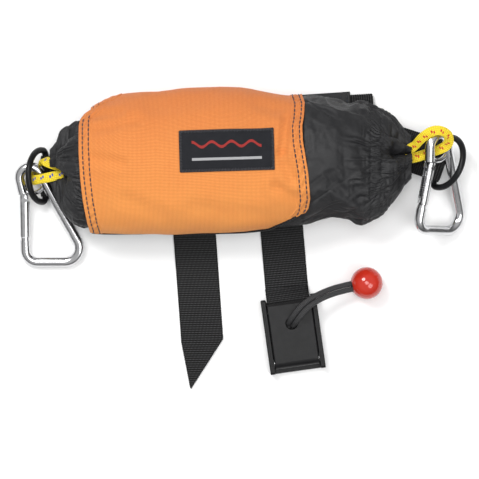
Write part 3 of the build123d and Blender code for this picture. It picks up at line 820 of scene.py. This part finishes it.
def shirr(bag):
    """Fine puckers along each elastic channel, and the two grooves that its stitches pull in."""
    mesh = bag.data
    co = coords(mesh)
    normals = np.empty(co.size)
    mesh.vertex_normals.foreach_get("vector", normals)
    normals = normals.reshape(-1, 3)
    angle = np.arctan2(co[:, 2] - 0.040, co[:, 1])
    lift = np.zeros(len(co))
    for channel, end in ((LEFT_CHANNEL_X, BAG.left), (RIGHT_CHANNEL_X, BAG.right)):
        away = co[:, 0] - channel
        wobble = 2.0 * np.sin(5 * angle) + 1.3 * np.sin(11 * angle + 1)
        uneven = 0.6 + 0.4 * np.sin(7 * angle + 3 * np.sin(3 * angle))
        band = np.exp(-((away + 0.0008 * np.sin(13 * angle)) / 0.0072)**4)
        cells = np.sin(50 * angle + wobble + 1.5 * np.sin(420 * away + 7 * angle)) \
            * np.sin(31 * angle + 1.7 * np.cos(9 * angle) + 1.2 * np.sin(350 * away + 3))
        lift += band * uneven * 0.0011 * cells
        for row in (-1, 1):
            wavy = away - row * CHANNEL_HALF + 0.0005 * np.sin(29 * angle + row)
            bite = 0.55 + 0.45 * np.sin(104 * angle + 2 * wobble)
            lift -= 0.0006 * bite * np.exp(-(wavy / 0.0009)**2)
        beside = np.exp(-((np.abs(away) - 0.014) / 0.010)**2)
        lift += 0.0006 * beside * np.sin(23 * angle + 1.5 * wobble)
        # the mouth's narrow hem: a rolled edge and the groove that its stitches pull in
        from_end = np.abs(co[:, 0] - end)
        lift += 0.0007 * np.exp(-(from_end / 0.0016)**2) \
            - 0.0006 * np.exp(-((from_end - 0.0052) / 0.0009)**2)
    covered = smooth_step((co[:, 0] - PANEL_BOX[0][0] - 0.001) / 0.003) \
        * smooth_step((PANEL_BOX[1][0] - 0.001 - co[:, 0]) / 0.003)
    crumple = np.array([fractal(p, 36) for p in co]) * 0.0010 \
        + np.array([fractal(p, 110, 5) for p in co]) * 0.00015
    lift = (lift + crumple) * (1 - covered)
    mesh.vertices.foreach_set("co", (co + normals * lift[:, None]).ravel())
    mesh.update()


# ---- orange front panel and label

# (distance up the bag, place along it) of the panel's two side hems
RIGHT_HEM = [(-0.0560, 0.0600), (-0.0475, 0.0640), (-0.0420, 0.0680), (-0.0340, 0.0695), (-0.0120, 0.0675),
             (0.0140, 0.0630), (0.0270, 0.0625), (0.0360, 0.0640), (0.0480, 0.0650), (0.0550, 0.0630)]
LEFT_HEM = [(-0.0610, -0.1225), (-0.0555, -0.1240), (-0.0360, -0.1273), (-0.0150, -0.1295),
            (0.0060, -0.1308), (0.0270, -0.1312), (0.0320, -0.1303), (0.0370, -0.1270),
            (0.0402, -0.1215), (0.0430, -0.1190)]
HEM_WIDTH, NEAR_HEM = 0.0100, 0.014
LEFT_ROWS, RIGHT_ROWS = (0.0035, 0.0088), (0.0026, 0.0084)      # stitch rows, from each hem's edge
LEFT_ROWS_FROM = 0.56           # above this angle the sleeve's edge covers the left hem's stitch rows
HEM_THREAD_R = 0.00055
PANEL_OUT, PANEL_THICK = 0.0008, 0.0008
PANEL_END_Z = 0.014             # height of its upper end, behind the bag
ROUND = 0.052                   # metres of weave per radian round the bag
PIPING_ENDS = (-0.121, 0.058)

# soft creases on the panel: from, to, depth, half width
CREASES = [
    ((0.0490, 0.0330), (0.0455, 0.0060), 0.0026, 0.0036),
    ((0.0440, 0.0030), (0.0540, -0.0180), 0.0016, 0.0042),
    ((-0.1150, 0.0250), (-0.0800, 0.0330), 0.0018, 0.0042),
    ((-0.1180, 0.0360), (-0.0950, 0.0385), 0.0018, 0.0034),
    ((-0.1180, 0.0000), (-0.0930, -0.0040), 0.0014, 0.0045),
    ((0.0250, 0.0470), (0.0560, 0.0380), 0.0018, 0.0050),
    ((-0.0300, -0.0420), (0.0350, -0.0500), 0.0012, 0.0060),
    ((-0.0900, -0.0350), (-0.0600, -0.0480), 0.0012, 0.0060),
    ((0.0400, -0.0250), (0.0560, -0.0330), 0.0016, 0.0045),
    ((-0.0700, 0.0450), (-0.0200, 0.0500), 0.0012, 0.0060),
]


def trimmed(x, angle):
    """Angle on the panel, whose lower right corner ends higher up the bag."""
    share = max(angle - CORNER_FROM, 0.0) / (PIPING_ANGLE - CORNER_FROM)
    return angle - share * read_table(CORNER_RISE, x)


def hem_at(hem, angle):
    """Place along the bag where a hem crosses an angle; behind the top edge it runs straight down."""
    x = hem[len(hem) // 2][1]
    for _ in range(8):          # the place settles within a few rounds
        x = float(read_table(hem, BAG.point(x, max(trimmed(x, angle), 0.0))[1]))
    return x


def crease_depth(x, y):
    total = 0
    for (x0, y0), (x1, y1), depth, half in CREASES:
        along = ((x - x0) * (x1 - x0) + (y - y0) * (y1 - y0)) / ((x1 - x0)**2 + (y1 - y0)**2)
        t = np.clip(along, 0, 1)
        away = np.hypot(x - x0 - t * (x1 - x0), y - y0 - t * (y1 - y0))
        total = total + depth * np.exp(-(away / half)**2) \
            - 0.5 * depth * np.exp(-((away - 1.9 * half) / half)**2)
    return total


def panel_out(x, y, angle, from_left, from_right):
    """Height of the panel above the bag: turned hems, stitch grooves, creases and slack."""
    out = PANEL_OUT + 0 * x
    for away, rows in ((from_left, LEFT_ROWS), (from_right, RIGHT_ROWS)):
        out = out + 0.0006 * (1 - smooth_step((away - HEM_WIDTH) / 0.0009))
        for row in rows:
            pucker = 0.75 + 0.25 * np.sin(angle * 95 + 40 * row / 0.003)
            out = out - 0.00050 * pucker * np.exp(-((away - row) / 0.0008)**2)
        out = out + 0.0005 * np.exp(-((away - 0.0060) / 0.0030)**2) * np.sin(angle * 31 + 7 * x / 0.01)
    front = np.clip(np.sin(angle), 0, 1)
    return out - crease_depth(x, y) * front


def panel_point(x, angle):
    """Point of the panel's outer face, with its relief."""
    angle = trimmed(x, angle)
    flat = BAG.point(x, angle)
    y = flat[1]
    edge_y = BAG.point(x, max(angle, 0.0))[1]
    from_left, from_right = x - read_table(LEFT_HEM, edge_y), read_table(RIGHT_HEM, edge_y) - x
    out = panel_out(x, y, angle, from_left, from_right)
    # slack of the cloth, and its fine unevenness
    sway = noise.fractal(Vector(flat) * 17, 0.5, 2.0, 2) * 0.0016 + noise.noise(Vector(flat) * 70) * 0.0003
    return BAG.point(x, angle, float(out) + sway + 0.0006)


def panel_row(angle, steps):
    """Places along the panel at one angle, closer together near its hems."""
    left, right = hem_at(LEFT_HEM, angle), hem_at(RIGHT_HEM, angle)
    near = np.linspace(0, NEAR_HEM, 34)
    middle = np.linspace(NEAR_HEM, (right - left) - NEAR_HEM, steps)[1:-1]
    return np.concatenate([left + near, left + middle, right - near[::-1]])


def front_panel():
    low_angle = float(BAG.angle_at(0.0, PANEL_END_Z))
    angles = np.linspace(low_angle, PIPING_ANGLE, 230)
    points, uv = [], []
    for angle in angles:
        for x in panel_row(angle, 92):
            points.append(panel_point(x, angle))
            uv.append((x, angle * ROUND))
    columns = len(points) // len(angles)
    faces = [face[::-1] for face in grid_faces(len(angles), columns)]
    panel = make_object("orange_panel", points, faces, CORDURA, uv, "front_panel")
    modify(panel, "SOLIDIFY", thickness=PANEL_THICK, offset=-1)
    for side, hem, rows in (("left", LEFT_HEM, LEFT_ROWS), ("right", RIGHT_HEM, RIGHT_ROWS)):
        for number, row in enumerate(rows, 1):
            first = LEFT_ROWS_FROM if side == "left" else low_angle + 0.04
            angles = np.linspace(first, PIPING_ANGLE - 0.03, 150)
            offset = row if side == "left" else -row
            line = np.array([panel_point(hem_at(hem, angle) + offset, angle) for angle in angles])
            on_bag = np.array([trimmed(point[0], angle) for point, angle in zip(line, angles)])
            stitches(f"{side}_hem_stitches_{number}", line, BAG.normal(line[:, 0], on_bag),
                     HEM_THREAD_R, length=0.0042, gap=0.0003)


# (place along the bag, distance up it) of the seam under which the sleeve's edge comes out
STRIP_SEAM = [(-0.1215, 0.0395), (-0.1118, 0.0450), (-0.1030, 0.0500), (-0.0945, 0.0560)]
STRIP_MARKS = [((-0.1185, 0.0421), (-0.1206, 0.0465)), ((-0.1138, 0.0440), (-0.1157, 0.0490))]
STRIP_OUT, STRIP_ENDS = 0.0018, -0.35    # height over the bag, and the angle behind it where it ends


def sleeve_edge():
    """Orange edge of the sleeve that shows past the panel's upper left corner."""
    points, uv = [], []
    places = np.linspace(STRIP_SEAM[0][0], STRIP_SEAM[-1][0], 60)
    around = 24
    for k in range(around):
        share = k / (around - 1)
        for x in places:
            start = BAG.front_angle(x, read_table(STRIP_SEAM, x))
            angle = start + share * (STRIP_ENDS - start)
            taper = smooth_step((places[-1] - x) / 0.012)
            out = PANEL_OUT + 0.0002 + (STRIP_OUT - PANEL_OUT) * taper * smooth_step(share / 0.2)
            points.append(BAG.point(x, angle, out + 0.0002 * sin(x * 900)))
            uv.append((x, angle * 0.05))
    faces = grid_faces(around, len(places))
    strip = make_object("sleeve_edge_strip", points, faces, CORDURA, uv)
    modify(strip, "SOLIDIFY", thickness=PANEL_THICK, offset=-1)
    for number, (low, high) in enumerate(STRIP_MARKS, 1):
        line = np.array([BAG.point(x, BAG.front_angle(x, y), STRIP_OUT + 0.0004)
                         for x, y in np.linspace(low, high, 12)])
        normals = np.tile((0.0, 0.35, 0.94), (len(line), 1))
        stitches(f"sleeve_edge_stitches_{number}", line, normals, HEM_THREAD_R)


def piping():
    """Dark bound edge that the panel is sewn into, along the bag's lower side."""
    xs, ring = np.linspace(*PIPING_ENDS, 90), ring_angles(12)
    centre = np.array([BAG.point(x, trimmed(x, PIPING_ANGLE) + 0.01, 0.0011 + 0.0003 * sin(x * 130))
                       for x in xs])
    points = swept(centre, [(0, -1, 0)], lambda k: (0.0011 * np.cos(ring), 0.0021 * np.sin(ring)))
    uv = [(0.0012 * a, x) for x in xs for a in ring]
    make_object("lower_edge_piping", points, tube_faces(len(xs), len(ring)), WEBBING, uv)


LABEL_LOW, LABEL_HIGH = (Vector(c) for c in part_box("label_patch"))
LABEL_TILT = radians(1.7)
LABEL_SIZE, LABEL_THICK = (0.081, 0.035), 0.0006
LABEL_CENTRE = ((LABEL_LOW.x + LABEL_HIGH.x) / 2, (LABEL_LOW.y + LABEL_HIGH.y) / 2)


def on_label(u, v, out):
    """Point above the panel at (u, v) from the label's centre, in the label's own plane."""
    x = LABEL_CENTRE[0] + u * cos(LABEL_TILT) - v * sin(LABEL_TILT)
    y = LABEL_CENTRE[1] + u * sin(LABEL_TILT) + v * cos(LABEL_TILT)
    angle = BAG.front_angle(x, y)
    return panel_point(x, angle) + BAG.normal(x, angle) * out


def label_patch():
    """The woven label, its rim pressed down onto the panel."""
    columns, rows = 110, 50
    half_u, half_v = LABEL_SIZE[0] / 2, LABEL_SIZE[1] / 2
    points, uv = [], []
    for v in np.linspace(-half_v, half_v, rows):
        for u in np.linspace(-half_u, half_u, columns):
            edge = min(half_u - abs(u), half_v - abs(v))
            lift = 0.0008 - 0.0004 * exp(-(edge / 0.0012)**2)
            points.append(on_label(u, v, lift))
            uv.append((u, v))
    label = make_object("woven_label", points, grid_faces(rows, columns), LABEL, uv, "label_patch")
    modify(label, "SOLIDIFY", thickness=LABEL_THICK, offset=-1)


def merrow_border():
    """Overlocked edge of the label: short threads side by side over its rim."""
    half_u, half_v = LABEL_SIZE[0] / 2, LABEL_SIZE[1] / 2
    corners = [(-half_u, -half_v), (half_u, -half_v), (half_u, half_v), (-half_u, half_v)]
    points, faces, uv = [], [], []
    sides, pitch, radius = 5, 0.00085, 0.00042
    for (u0, v0), (u1, v1) in zip(corners, corners[1:] + corners[:1]):
        run = np.hypot(u1 - u0, v1 - v0)
        along = np.array([(u1 - u0) / run, (v1 - v0) / run])
        inward = np.array([-along[1], along[0]])
        for k in range(int(run / pitch)):
            ragged = 0.00035 * sin(k * 2.4 + 5 * u0 / 0.04)
            base = len(points)
            for j, t in enumerate(np.linspace(-0.0004, 0.0019 + ragged, 4)):
                spot = np.array([u0, v0]) + along * (k + 0.5 + 0.25 * j) * pitch + inward * t
                lift = 0.0011 if 0 < j < 3 else 0.0006
                centre = on_label(*spot, lift)
                across = np.array([*along, 0])
                for i in range(sides):
                    turn = 2 * pi * i / sides
                    points.append(centre + radius * (cos(turn) * across + np.array([0, 0, sin(turn)])))
                    uv.append((k * pitch, t))
            faces += tube_faces(4, sides, base)
    make_object("label_border", points, faces, LABEL_THREAD, uv)


bag_cloth()
front_panel()
sleeve_edge()
piping()
label_patch()
merrow_border()


# ---- webbing

WEB_HALF = 0.0190
WEB_THICK = 0.0015
RIB_HEIGHT = 0.00042
STRAP_OFFSET = 0.0385
LOW_LAYER, RETURN_LAYER, BELT_LAYER = 0.00075, 0.00235, 0.00485     # middle heights of the belt's runs
BELT_FRAME = Matrix.Translation((0, 0.0325, 0)) @ Matrix.Rotation(radians(3.8), 4, "Z")
BUCKLE_FRAME = Matrix.Translation((0.05605, -0.15415, 0)) @ Matrix.Rotation(radians(8), 4, "Z")


def resample(line, count):
    """Evenly spaced points along a polyline."""
    line = np.asarray(line, dtype=float)
    run = run_along(line)
    return at_run(np.linspace(0, run[-1], count), run, line)


def webbing_mesh(left, right, up, run, columns=15):
    """Points, faces and weave coordinates of ribbed webbing between two edges.

    left, right and up give each row's edge points and its upward direction, and run
    gives each corner's distance along the webbing, which is what the ribs follow."""
    points, uv = [], []
    across = np.linspace(0, 1, columns)
    body = 1 - np.abs(2 * across - 1)**14 * 0.75
    for l, r, n, (run_l, run_r) in zip(left, right, up, run):
        width = np.linalg.norm(r - l)
        sideways = unit(r - l)
        for face in (1, -1):
            order = across if face > 0 else across[::-1]
            thick = body if face > 0 else body[::-1]
            for t, b in zip(order, thick):
                s = run_l + t * (run_r - run_l)
                rib = abs(sin(pi * s / RIB_PITCH))
                half = WEB_THICK / 2 - RIB_HEIGHT + RIB_HEIGHT * rib * 1.3
                edge = (t - 0.5) * 2
                scallop = 0.00025 * rib * np.sign(edge) * abs(edge)**20
                points.append(l + t * (r - l) + sideways * scallop + face * n * half * b)
                uv.append((t * width, s))
    return points, tube_faces(len(left), 2 * columns), uv


def joined(parts):
    """One set of points, faces and weave coordinates from several."""
    points, faces, uv = [], [], []
    for more_points, more_faces, more_uv in parts:
        base = len(points)
        points += list(more_points)
        faces += [tuple(base + i for i in face) for face in more_faces]
        uv += more_uv
    return points, faces, uv


def transformed(matrix, points):
    return np.array([(matrix @ Vector(p))[:] for p in points])


def side_path(profile, half, place, along=0):
    """Two edges and upward directions of webbing that follows a side-view profile along X or Y."""
    profile = np.asarray(profile)
    slope = np.gradient(profile, axis=0)
    slope /= np.linalg.norm(slope, axis=1)[:, None]
    left, right, up = np.zeros((3, len(profile), 3))
    for edge, away in ((left, -half), (right, half)):
        edge[:, along], edge[:, 1 - along], edge[:, 2] = profile[:, 0], away, profile[:, 1]
    up[:, along], up[:, 2] = -slope[:, 1], slope[:, 0]
    return transformed(place, left), transformed(place, right), transformed(place.to_3x3().to_4x4(), up)


def run_of(left, right):
    """Distance along the webbing at each row, for both edges."""
    run = run_along((left + right) / 2)
    return list(zip(run, run))


def arc(centre, radius, start, end, steps=14):
    """Points on part of a circle, from one angle in degrees to another."""
    angles = np.radians(np.linspace(start, end, steps))
    return [(centre[0] + radius * cos(t), centre[1] + radius * sin(t)) for t in angles]


BELT_LEFT, BELT_RIGHT = -0.125, 0.127                    # middles of the belt's two folds
TAIL_LEFT = [(-0.0434, -0.1619), (-0.0355, -0.2025)]     # in plan: the slant cut and the tail's point
TAIL_RIGHT = [(-0.0063, -0.1588), (-0.0349, -0.2033)]
LEAD_END_Y = 0.0376             # in the buckle's frame: where the lead strap meets its turn round the bar
BEAD_R = 0.0015


def hip_belt_run():
    """The run through the sleeve, its fold at each end and the two return runs under it."""
    mid, radius = (BELT_LAYER + RETURN_LAYER) / 2, (BELT_LAYER - RETURN_LAYER) / 2
    profile = [(-STRAP_OFFSET, RETURN_LAYER), (BELT_LEFT, RETURN_LAYER)]
    profile += arc((BELT_LEFT, mid), radius, 270, 90)
    profile += arc((BELT_RIGHT, mid), radius, 90, -90)
    profile += [(STRAP_OFFSET, RETURN_LAYER)]
    profile = resample(profile, 960)
    left, right, up = side_path(profile, WEB_HALF, Matrix.Identity(4))
    # the returns end on a slant, where the webbing turns down into the straps
    for i in np.nonzero(profile[:, 1] < mid)[0]:
        x = profile[i, 0]
        side = np.sign(x)
        fold = BELT_RIGHT if side > 0 else BELT_LEFT
        share = np.clip((abs(fold) - abs(x)) / (abs(fold) - STRAP_OFFSET), 0, 1)
        left[i, 0] += side * share * WEB_HALF
        right[i, 0] -= side * share * WEB_HALF
    run = list(zip(left[:, 0], right[:, 0]))
    return webbing_mesh(transformed(BELT_FRAME, left), transformed(BELT_FRAME, right), up, run)


def fold_bead(side):
    """Rounded crease where a return run turns down into its strap."""
    a = np.array([side * (STRAP_OFFSET - WEB_HALF), WEB_HALF, 0])
    b = np.array([side * (STRAP_OFFSET + WEB_HALF), -WEB_HALF, 0])
    line = np.linspace(a, b, 60)
    line[:, 2] = (LOW_LAYER + RETURN_LAYER) / 2
    along = unit(b - a)
    out = np.array([-along[1], along[0], 0])
    points, uv = [], []
    for k, p in enumerate(line):
        r = BEAD_R + 0.0001 * abs(sin(k * 0.9))
        for turn in ring_angles(12):
            points.append(p + 0.7 * r * cos(turn) * out + r * sin(turn) * np.array(UP))
            uv.append((k * 0.0009, r * turn))
    return transformed(BELT_FRAME, points), tube_faces(len(line), 12), uv


def strap(left_line, right_line, rows, lift=None):
    """A strap that lies flat, between two edge polylines given in plan."""
    left, right = resample(left_line, rows), resample(right_line, rows)
    down = unit((left[-1] + right[-1] - left[0] - right[0])[:2])
    height = np.full(rows, LOW_LAYER) if lift is None else LOW_LAYER + lift(np.linspace(0, 1, rows))
    left = np.column_stack([left, height])
    right = np.column_stack([right, height])
    up = np.tile(UP, (rows, 1))
    run = list(zip(left[:, :2] @ down, right[:, :2] @ down))
    return webbing_mesh(left, right, up, run, columns=21)


def in_plan(matrix, *spots):
    """Spots of a frame's own plane, in the bag's plan."""
    return [tuple((matrix @ Vector((x, y, 0)))[:2]) for x, y in spots]


def straps():
    """The free tail and the lead to the buckle, each from the slant where its return turns down."""
    inner, outer = STRAP_OFFSET - WEB_HALF, STRAP_OFFSET + WEB_HALF
    short = 0.0004              # the outer edge starts this far above the slant's lower end
    tail_left = in_plan(BELT_FRAME, (-outer, -WEB_HALF + short), (-outer, -WEB_HALF)) + TAIL_LEFT
    tail_right = in_plan(BELT_FRAME, (-inner, WEB_HALF), (-inner, -WEB_HALF)) + TAIL_RIGHT

    def ripple(t):
        """Height of the free tail off the table, along it from 0 to 1."""
        return 0.0009 * np.clip(np.sin(3.1 * pi * t - 0.6), 0, 1) * smooth_step(t * 3 - 1)

    bar = in_plan(BUCKLE_FRAME, (-WEB_HALF, LEAD_END_Y), (WEB_HALF, LEAD_END_Y))
    lead_left = in_plan(BELT_FRAME, (inner, WEB_HALF), (inner, -WEB_HALF)) + [bar[0]]
    lead_right = in_plan(BELT_FRAME, (outer, -WEB_HALF + short), (outer, -WEB_HALF)) + [bar[1]]
    return [strap(tail_left, tail_right, 460, ripple), strap(lead_left, lead_right, 330)]


def crossbar_wrap():
    """The strap's end, turned round the buckle's crossbar."""
    bar_y, bar_z, radius = 0.0286, 0.0042, 0.0029
    profile = [(0.0380, LOW_LAYER), (0.0350, LOW_LAYER + 0.0001), (0.0325, LOW_LAYER + 0.0004)]
    profile += arc((bar_y, bar_z), radius, -65, -295, 26)
    profile += [(0.0335, 0.0040), (0.0365, 0.0026), (0.0400, RETURN_LAYER), (0.0420, RETURN_LAYER)]
    profile = resample(profile, 120)
    left, right, up = side_path(profile, WEB_HALF, BUCKLE_FRAME, along=1)
    return webbing_mesh(left, right, up, run_of(left, right))


def waist_belt():
    """The whole belt: the run, its two folds' creases, the tail, the lead and its turn round the bar."""
    parts = [hip_belt_run(), fold_bead(-1), fold_bead(1)] + straps() + [crossbar_wrap()]
    points, faces, uv = joined(parts)
    make_object("ribbed_belt", points, faces, WEBBING, uv, "waist_belt")


SLEEVE_SEAM_X = 0.062           # right of this the tunnel is packcloth
SLEEVE_ROWS = (0.003, 0.0085)   # stitch rows, from each of its ends
SLEEVE_THICK = 0.0006


def belt_sleeve():
    """Orange cloth tunnel that the belt runs through, behind the bag."""
    low, high = 0.0033, 0.0064                  # heights of its two layers
    start, end, half = -0.1165, 0.1085, 0.0222  # its ends and half its width
    around = 56
    xs = np.linspace(start, end, 170)
    points, uv = [], []
    for x in xs:
        near_end = min(x - start, end - x)
        for j in range(around):
            turn = 2 * pi * j / around
            c, s = cos(turn), sin(turn)
            y = half * np.sign(c) * abs(c)**0.35
            z = (low + high) / 2 + (high - low) / 2 * np.sign(s) * abs(s)**0.6
            z += 0.00025 * sin(x * 260 + 2 * y / 0.01) * abs(s)
            z -= 0.00035 * np.sign(s) * sum(exp(-((near_end - row) / 0.0008)**2) for row in SLEEVE_ROWS)
            points.append((x, y, z))
            uv.append((x, j * 0.0016))
    points = transformed(BELT_FRAME, points)
    sleeve = make_object("sleeve_cloth", points, grid_faces(len(xs), around, wrap=True),
                         [CORDURA, PACKCLOTH], uv, "belt_sleeve")
    for face in sleeve.data.polygons:
        face.material_index = 1 if face.center.x > SLEEVE_SEAM_X else 0
    modify(sleeve, "SOLIDIFY", thickness=SLEEVE_THICK, offset=-1)
    ys = np.linspace(-half + 0.001, half - 0.001, 60)
    for end_name, edge, inward in (("left", start, 1), ("right", end, -1)):
        for number, away in enumerate(SLEEVE_ROWS, 1):
            for face, z, outward in (("front", high, 1.0), ("back", low, -1.0)):
                line = transformed(BELT_FRAME, [(edge + inward * away, y, z) for y in ys])
                normals = np.tile((0, 0, outward), (len(line), 1))
                stitches(f"sleeve_{end_name}_{face}_stitches_{number}", line, normals)


def ring_tab(side, ring_turn, tail):
    """Webbing folded round a D ring's bar, its two layers leading under the bag."""
    bar = RING_BARS[side]
    sign = 1 if side == "left" else -1
    radius, layer = 0.0037, 0.0008      # of its turn round the bar; each layer's middle from the tail's
    upper = [(d, z + layer) for d, z in reversed(tail)]
    lower = [(d, z - layer) for d, z in tail]
    profile = upper + [(0.009, bar[2] + 0.0022)] + arc((0, bar[2]), radius, 60, 300, 26) \
        + [(0.009, bar[2] - 0.0018)] + lower
    profile = resample(profile, 340)
    profile = [(sign * d, z) for d, z in profile]
    place = Matrix.Translation((bar[0], bar[1], 0)) @ Matrix.Rotation(radians(ring_turn), 4, "Z")
    left, right, up = side_path(profile, WEB_HALF - 0.001, place)
    points, faces, uv = webbing_mesh(left, right, up, run_of(left, right))
    make_object(f"{side}_tab_webbing", points, faces, WEBBING, uv, f"{side}_ring_tab")


JOINTS = {joint["name"]: joint for joint in frame["record"]["behaviour"]["joints"]}
RING_BARS = {side: JOINTS[f"{side}_ring_hinge"]["pos_m"] for side in ("left", "right")}

waist_belt()
belt_sleeve()
ring_tab("left", 0.0, [(0.030, 0.0056), (0.060, 0.0056)])
ring_tab("right", -19.5, [(0.040, 0.0082), (0.068, 0.0078)])


# ---- floating line

LEFT_LINE = [
    (-0.146, -0.013, 0.035), (-0.157, -0.015, 0.035), (-0.1675, -0.017, 0.031), (-0.176, -0.018, 0.023),
    (-0.1744, -0.0136, 0.0129), (-0.168, -0.0045, 0.0124), (-0.164, 0.002, 0.019), (-0.1615, -0.003, 0.032),
    (-0.146, -0.007, 0.0345),
]
LEFT_WIDTHS = [(0, 1, 0), (0, 1, 0), (-0.1, 1, 0), (-0.15, 1, 0.1), (-0.3, 1, 0.2), (0.4, 0.9, 0),
               (0.9, 0.3, 0), (0.8, 0.5, 0), (0.2, 1, 0)]
RIGHT_LINE = [
    (0.147, 0.006, 0.035), (0.160, 0.009, 0.0385), (0.167, 0.019, 0.0525), (0.179, 0.026, 0.058),
    (0.1905, 0.022, 0.054), (0.191, 0.0125, 0.047), (0.182, 0.008, 0.041), (0.172, 0.005, 0.0355),
    (0.160, 0.001, 0.033), (0.147, 0.000, 0.033),
]
LINE_WIDE, LINE_THICK = 0.0088, 0.0028
PICK_PITCH, PICK_HEIGHT = 0.0105, 0.00032
RIGHT_WIDTHS = [(0, 1, 0), (-0.5, 0.9, 0), (-0.9, 0.4, 0), (-0.3, 1, 0), (0.7, 0.8, 0), (1, -0.1, 0.1),
                (0.3, -1, 0), (0.1, -1, 0), (0, -1, 0), (0, -1, 0)]


def line_loop(side, route, hints, material):
    """The floating line, pressed flat: rounded edges, herringbone picks raised on both faces."""
    points = spline_points(route, per_run=30)
    run, ring = run_along(points), ring_angles(56)
    flat = np.sign(np.cos(ring)) * np.abs(np.cos(ring))**0.75
    full = np.sign(np.sin(ring)) * np.abs(np.sin(ring))**0.85

    def section(k):
        turn = 2 * pi * run[k] / PICK_PITCH
        relief = PICK_HEIGHT * np.abs(np.sin(5 * (ring + turn)) * np.sin(5 * (ring - turn)))**0.7
        half_wide = LINE_WIDE / 2 * (1 + 0.05 * sin(run[k] * 210))
        return (half_wide - 0.0003 + relief) * flat, (LINE_THICK / 2 - 0.0002 + relief) * full

    uv = [(LINE_WIDE / 2 * f, s) for s in run for f in flat]
    make_object(f"{side}_line_braid", swept(points, hints, section), tube_faces(len(points), len(ring)),
                material, uv, f"{side}_line_loop")


line_loop("left", LEFT_LINE, LEFT_WIDTHS, BLUE_LINE)
line_loop("right", RIGHT_LINE, RIGHT_WIDTHS, RED_LINE)


def stuffed_line():
    """The line packed into the bag: loose turns side by side, filling its inside."""
    low, high = (Vector(c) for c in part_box("tow_line_hank"))
    line_r, wall = 0.0031, 0.0105       # wall: the least distance from the bag's surface
    turns = int((high.x - low.x) / (2 * line_r * 1.05))
    per_turn, sides = 40, 8
    spots = []
    for i in range(turns * per_turn + 1):
        angle = 2 * pi * i / per_turn
        x = low.x + line_r + (high.x - low.x - 2 * line_r) * i / (turns * per_turn)
        cy, cz, half_y, half_z = BAG.ellipse(x)
        loose = wall + line_r + 0.0022 * (1 + sin(angle * 0.37)) + 0.0012 * sin(angle * 2.7)
        y = cy + max(half_y - loose, 0.004) * cos(angle)
        z = cz + max(half_z - loose, 0.004) * sin(angle)
        spots.append((x + 0.0016 * sin(angle * 1.3), y, z))
    spots = np.array(spots)
    uv = [(line_r * a, i * 0.006) for i in range(len(spots)) for a in ring_angles(sides)]
    make_object("stuffed_line", round_tube(spots, (1, 0, 0), line_r, sides), tube_faces(len(spots), sides),
                BLUE_LINE, uv, "tow_line_hank")


stuffed_line()


# ---- hardware

def gate_spring(side):
    """Coil spring down the gate, in the place of its hollow cylinder."""
    points = coords(NODES[f"{side}_gate_spring"].data)
    centre = (points.min(axis=0) + points.max(axis=0)) / 2
    axis = np.linalg.svd(points - points.mean(axis=0), full_matrices=False)[2][0]
    across = unit(np.cross(axis, (0.3, 0.2, 1.0)))
    other = np.cross(axis, across)
    reach = (points - centre) @ axis
    length = reach.max() - reach.min()
    wire, coil, turns, steps, sides = 0.00036, 0.0021, 9.5, 300, 8
    spots = []
    for i in range(steps + 1):
        t = i / steps
        angle = 2 * pi * turns * t
        # the coils lie closer together towards both ends
        along = (smooth_step(t) * 0.25 + 0.75 * t - 0.5) * (length - 2 * wire)
        spots.append(centre + axis * along + coil * (cos(angle) * across + sin(angle) * other))
    spots = np.array(spots)
    make_object(f"{side}_gate_coil", round_tube(spots, axis, wire, sides), tube_faces(steps + 1, sides),
                SPRING, node=f"{side}_gate_spring", body=f"{side}_gate_arm")


def finish_cad_nodes():
    """Materials of the hard parts, which keep their CAD shapes, and the springs in their gates."""
    finishes = {"buckle_frame": BUCKLE, "cam_lever": BUCKLE, "buckle_pin": STEEL, "release_ball": BALL,
                "left_mouth_elastic": ELASTIC, "right_mouth_elastic": ELASTIC,
                "left_d_ring": RINGS, "right_d_ring": RINGS}
    for side in ("left", "right"):
        gate_spring(side)
        for part in ("carabiner_body", "gate", "gate_pin", "gate_pusher"):
            finishes[f"{side}_{part}"] = STEEL
    for node, material in finishes.items():
        for place in NODES[node].material_slots:
            place.material = material


finish_cad_nodes()
